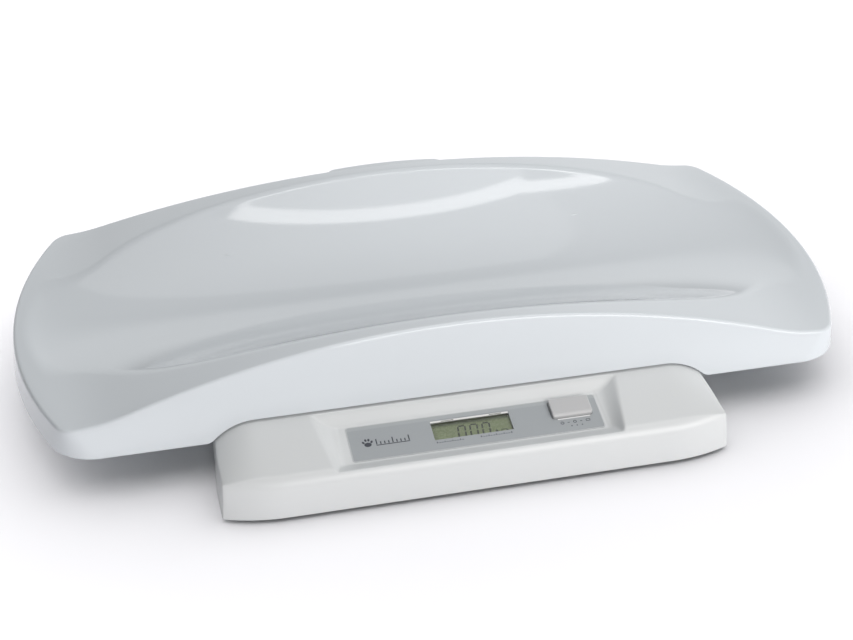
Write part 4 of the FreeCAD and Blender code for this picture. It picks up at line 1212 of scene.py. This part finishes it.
ZERO_STROKES = (((0, 1), (1, 1)), ((1, 1), (1, 0.5)), ((1, 0.5), (1, 0)),
                ((0, 0), (1, 0)), ((0, 0.5), (0, 0)), ((0, 1), (0, 0.5)))


def digit_zero(build, u, v, width, height, stroke, w):
    """A leaning zero of six strokes with small gaps between them."""
    slant = 0.10
    for (x0, y0), (x1, y1) in ZERO_STROKES:
        a = Vector((u + x0 * width + slant * y0 * height, v + y0 * height))
        b = Vector((u + x1 * width + slant * y1 * height, v + y1 * height))
        along = (b - a).normalized() * stroke * 0.42
        flat_print(build, bar(a.x + along.x, a.y + along.y, b.x - along.x, b.y - along.y, stroke), w)


def make_display_digits(material):
    build = Build()
    w = -GLASS_DEPTH + 0.01
    base_v = 10.7
    for u in (-9.4, -1.6, 6.2):
        digit_zero(build, u, base_v, 4.5, 9.0, 1.1, w)
    flat_print(build, disc(-3.3, base_v, 0.75, 0.75, count=12), w)
    # small signs for a settled weight and a charged battery
    flat_print(build, [(13.6, base_v - 0.2), (16.6, base_v - 0.2), (15.1, base_v + 2.6)], w)
    frame_print(build, 18.0, base_v, 21.6, base_v + 2.0, 0.2, 0.42, w)
    flat_print(build, bar(21.6, base_v + 1.0, 22.2, base_v + 1.0, 1.0), w)
    digits = build.piece("display_digits", material)
    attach(digits, "base")


def make_button(material):
    """Key with a flat top, a chamfered front lip and soft edges."""
    build = Build()
    cu, cv, length, depth = BUTTON
    half_u, half_v = length / 2, depth / 2
    edge = BUTTON_EDGE_R

    def at(p):
        u, v, w = p
        front = max(0.0, min((-half_v + BUTTON_LIP - v) / BUTTON_LIP, 1.0))
        w = w - max(0.0, w - 1.2) * 0.72 * front ** 1.25
        return on_panel((cu + u, cv + v, w))

    plan = rounded_outline(half_u, half_v, BUTTON_CORNER_R, 6)
    loops = [[at((u, v, w)) for u, v in plan] for w in (-2.0, 1.0)]
    for angle in steps(0.0, math.pi / 2, 6):
        inset = edge * (1 - math.cos(angle))
        plan = rounded_outline(half_u - inset, half_v - inset, BUTTON_CORNER_R - 0.6 * inset, 6)
        loops.append([at((u, v, BUTTON_PROUD - edge * (1 - math.sin(angle)))) for u, v in plan])
    rows = [build.row(loop) for loop in loops]
    build.skin(rows, closed=True)
    build.faces.append(tuple(reversed(rows[0])))
    # the flat top, in rings of the last outline
    previous = rows[-1]
    for share in (0.96, 0.9, 0.84, 0.78, 0.7, 0.5, 0.25, 0.04):
        ring = build.row([at((u * share, v * share, BUTTON_PROUD)) for u, v in plan])
        build.strip(previous, ring, closed=True)
        previous = ring
    build.faces.append(tuple(previous))
    key = build.piece("button_key", material, sharp_deg=38.0)
    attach(key, "button")
    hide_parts("button_cap")


# ---------------------------------------------------------------- studio
def make_floor():
    n = Nodes("floor_paper")
    tone = n.noise(3.0, 3.0)
    n.color(n.tint(tone, [(0.3, (0.93, 0.93, 0.935)), (0.7, (0.95, 0.95, 0.955))]))
    n.rough(n.spread(n.noise(40.0), 0.3, 0.7, 0.75, 0.9))
    n.set(Specular_IOR_Level=0.1)
    corners = [(sx * FLOOR_HALF, sy * FLOOR_HALF, 0) for sx, sy in ((-1, -1), (1, -1), (1, 1), (-1, 1))]
    mesh = bpy.data.meshes.new("floor")
    mesh.from_pydata(corners, [], [(0, 1, 2, 3)])
    mesh.materials.append(n.material)
    floor = bpy.data.objects.new("floor", mesh)
    scene.collection.objects.link(floor)
    return floor


def lit_only(light, floor, floor_only):
    """Links a light to the floor alone, or to everything but the floor."""
    group = bpy.data.collections.new(light.name + "_reach")
    group.objects.link(floor)
    light.light_linking.receiver_collection = group
    state = "INCLUDE" if floor_only else "EXCLUDE"
    group.collection_objects[0].light_linking.link_state = state


def softbox(name, floor, at, aim, size_x, size_y, radiance, color=(1.0, 1.0, 1.0), yaw=0.0):
    """Rectangular studio light at a place in mm, of an even radiance. The floor has its own light."""
    data = bpy.data.lights.new(name, "AREA")
    data.shape = "RECTANGLE"
    data.size = size_x / 1000.0
    data.size_y = size_y / 1000.0
    data.energy = radiance * math.pi * data.size * data.size_y
    data.color = color
    light = bpy.data.objects.new(name, data)
    light.location = place(at)
    direction = place(aim) - light.location
    aimed = direction.to_track_quat("-Z", "Y") @ Quaternion((0.0, 0.0, 1.0), yaw)
    light.rotation_euler = aimed.to_euler()
    scene.collection.objects.link(light)
    lit_only(light, floor, False)


def flat_panel(name, floor, low, high, radiance):
    """Horizontal softbox between two corners in plan."""
    middle = ((low[0] + high[0]) / 2, (low[1] + high[1]) / 2)
    softbox(name, floor, (*middle, LIGHT_Z), (*middle, 0.0), high[0] - low[0], high[1] - low[1], radiance)


def floor_light(floor):
    """Wide soft light from above that draws the shadow on the floor."""
    data = bpy.data.lights.new("floor_wash", "SUN")
    data.energy = FLOOR_WASH * math.pi
    data.angle = FLOOR_SUN_ANGLE
    data.color = FLOOR_SUN_COLOR
    light = bpy.data.objects.new("floor_wash", data)
    light.rotation_euler = Vector(FLOOR_SUN_AIM).to_track_quat("-Z", "Y").to_euler()
    scene.collection.objects.link(light)
    lit_only(light, floor, True)


def make_world():
    """Pale surroundings, white to the camera. The object sees them darker to the left,
    with a soft low glow behind."""
    world = bpy.data.worlds.new("studio")
    scene.world = world
    world.use_nodes = True
    tree = world.node_tree
    coord = tree.nodes.new("ShaderNodeTexCoord")
    axes = tree.nodes.new("ShaderNodeSeparateXYZ")
    tree.links.new(coord.outputs["Generated"], axes.inputs["Vector"])
    x, y, z = axes.outputs
    fade = map_range(tree, x, -1.0, 1.0, WORLD_LEFT, WORLD_RIGHT)
    upper = map_range(tree, z, *GLOW_UPPER, kind="SMOOTHSTEP")
    lower = map_range(tree, z, *GLOW_LOWER, kind="SMOOTHSTEP")
    behind = map_range(tree, y, *GLOW_BEHIND, 0.0, REAR_GLOW, kind="SMOOTHSTEP")
    band = calculate(tree, "MULTIPLY", upper, lower)
    glow = calculate(tree, "MULTIPLY_ADD", band, behind, fade)
    path = tree.nodes.new("ShaderNodeLightPath")
    seen = tree.nodes.new("ShaderNodeMix")
    tree.links.new(path.outputs["Is Camera Ray"], seen.inputs["Factor"])
    tree.links.new(glow, seen.inputs["A"])
    seen.inputs["B"].default_value = 1.0
    back = tree.nodes["Background"]
    tree.links.new(seen.outputs["Result"], back.inputs["Strength"])
    back.inputs["Color"].default_value = WORLD_TINT


def make_camera():
    data = bpy.data.cameras.new("camera")
    camera = bpy.data.objects.new("camera", data)
    scene.collection.objects.link(camera)
    camera.location = CAMERA_AT
    flat = math.cos(CAMERA_ELEVATION)
    forward = Vector((math.sin(CAMERA_AZIMUTH) * flat, math.cos(CAMERA_AZIMUTH) * flat,
                      -math.sin(CAMERA_ELEVATION)))
    level = Vector((math.cos(CAMERA_AZIMUTH), -math.sin(CAMERA_AZIMUTH), 0.0))
    upward = level.cross(forward)
    right = math.cos(CAMERA_ROLL) * level + math.sin(CAMERA_ROLL) * upward
    up = -math.sin(CAMERA_ROLL) * level + math.cos(CAMERA_ROLL) * upward
    camera.rotation_euler = Matrix((right, up, -forward)).transposed().to_euler()
    data.sensor_width = SENSOR_WIDTH
    data.lens = CAMERA_LENS
    scene.camera = camera


def dress_cad_nodes(materials):
    """Gives every carried-over CAD node the procedural material of its slot."""
    slots = {part["node"]: part["material_slot"] for part in frame["record"]["subparts"]}
    for name, obj in nodes.items():
        obj.data.materials.clear()
        obj.data.materials.append(materials[slots[name]])


make_camera()
materials = make_materials()
dress_cad_nodes(materials)
make_tray(materials["tray_plastic"])
make_housing(materials["housing_plastic"])
make_bosses(materials["housing_plastic"])
make_label_print(materials["label_ink"], materials["label_white"])
make_display_digits(materials["lcd_ink"])
make_display_lip(materials["bezel_plastic"], materials["lcd_ink"])
make_button(materials["button_plastic"])
floor = make_floor()
make_world()
floor_light(floor)
flat_panel("strip", floor, (-200.0, 12.0), (645.0, 160.0), STRIP_RADIANCE)
softbox("strip_turn", floor, (800.0, 290.0, LIGHT_Z), (800.0, 290.0, 0.0), 620.0, 100.0,
        STRIP_RADIANCE, yaw=math.radians(43.0))
flat_panel("overhead", floor, (-420.0, -400.0), (850.0, 12.0), 1.3)
flat_panel("rear_panel", floor, (-420.0, 165.0), (660.0, 1500.0), 0.6)
softbox("front", floor, (600.0, -1290.0, 720.0), (0.0, 0.0, 40.0), 1200.0, 800.0, 5.15,
        color=(1.0, 0.98, 0.965))
scene.view_settings.view_transform = "Standard"
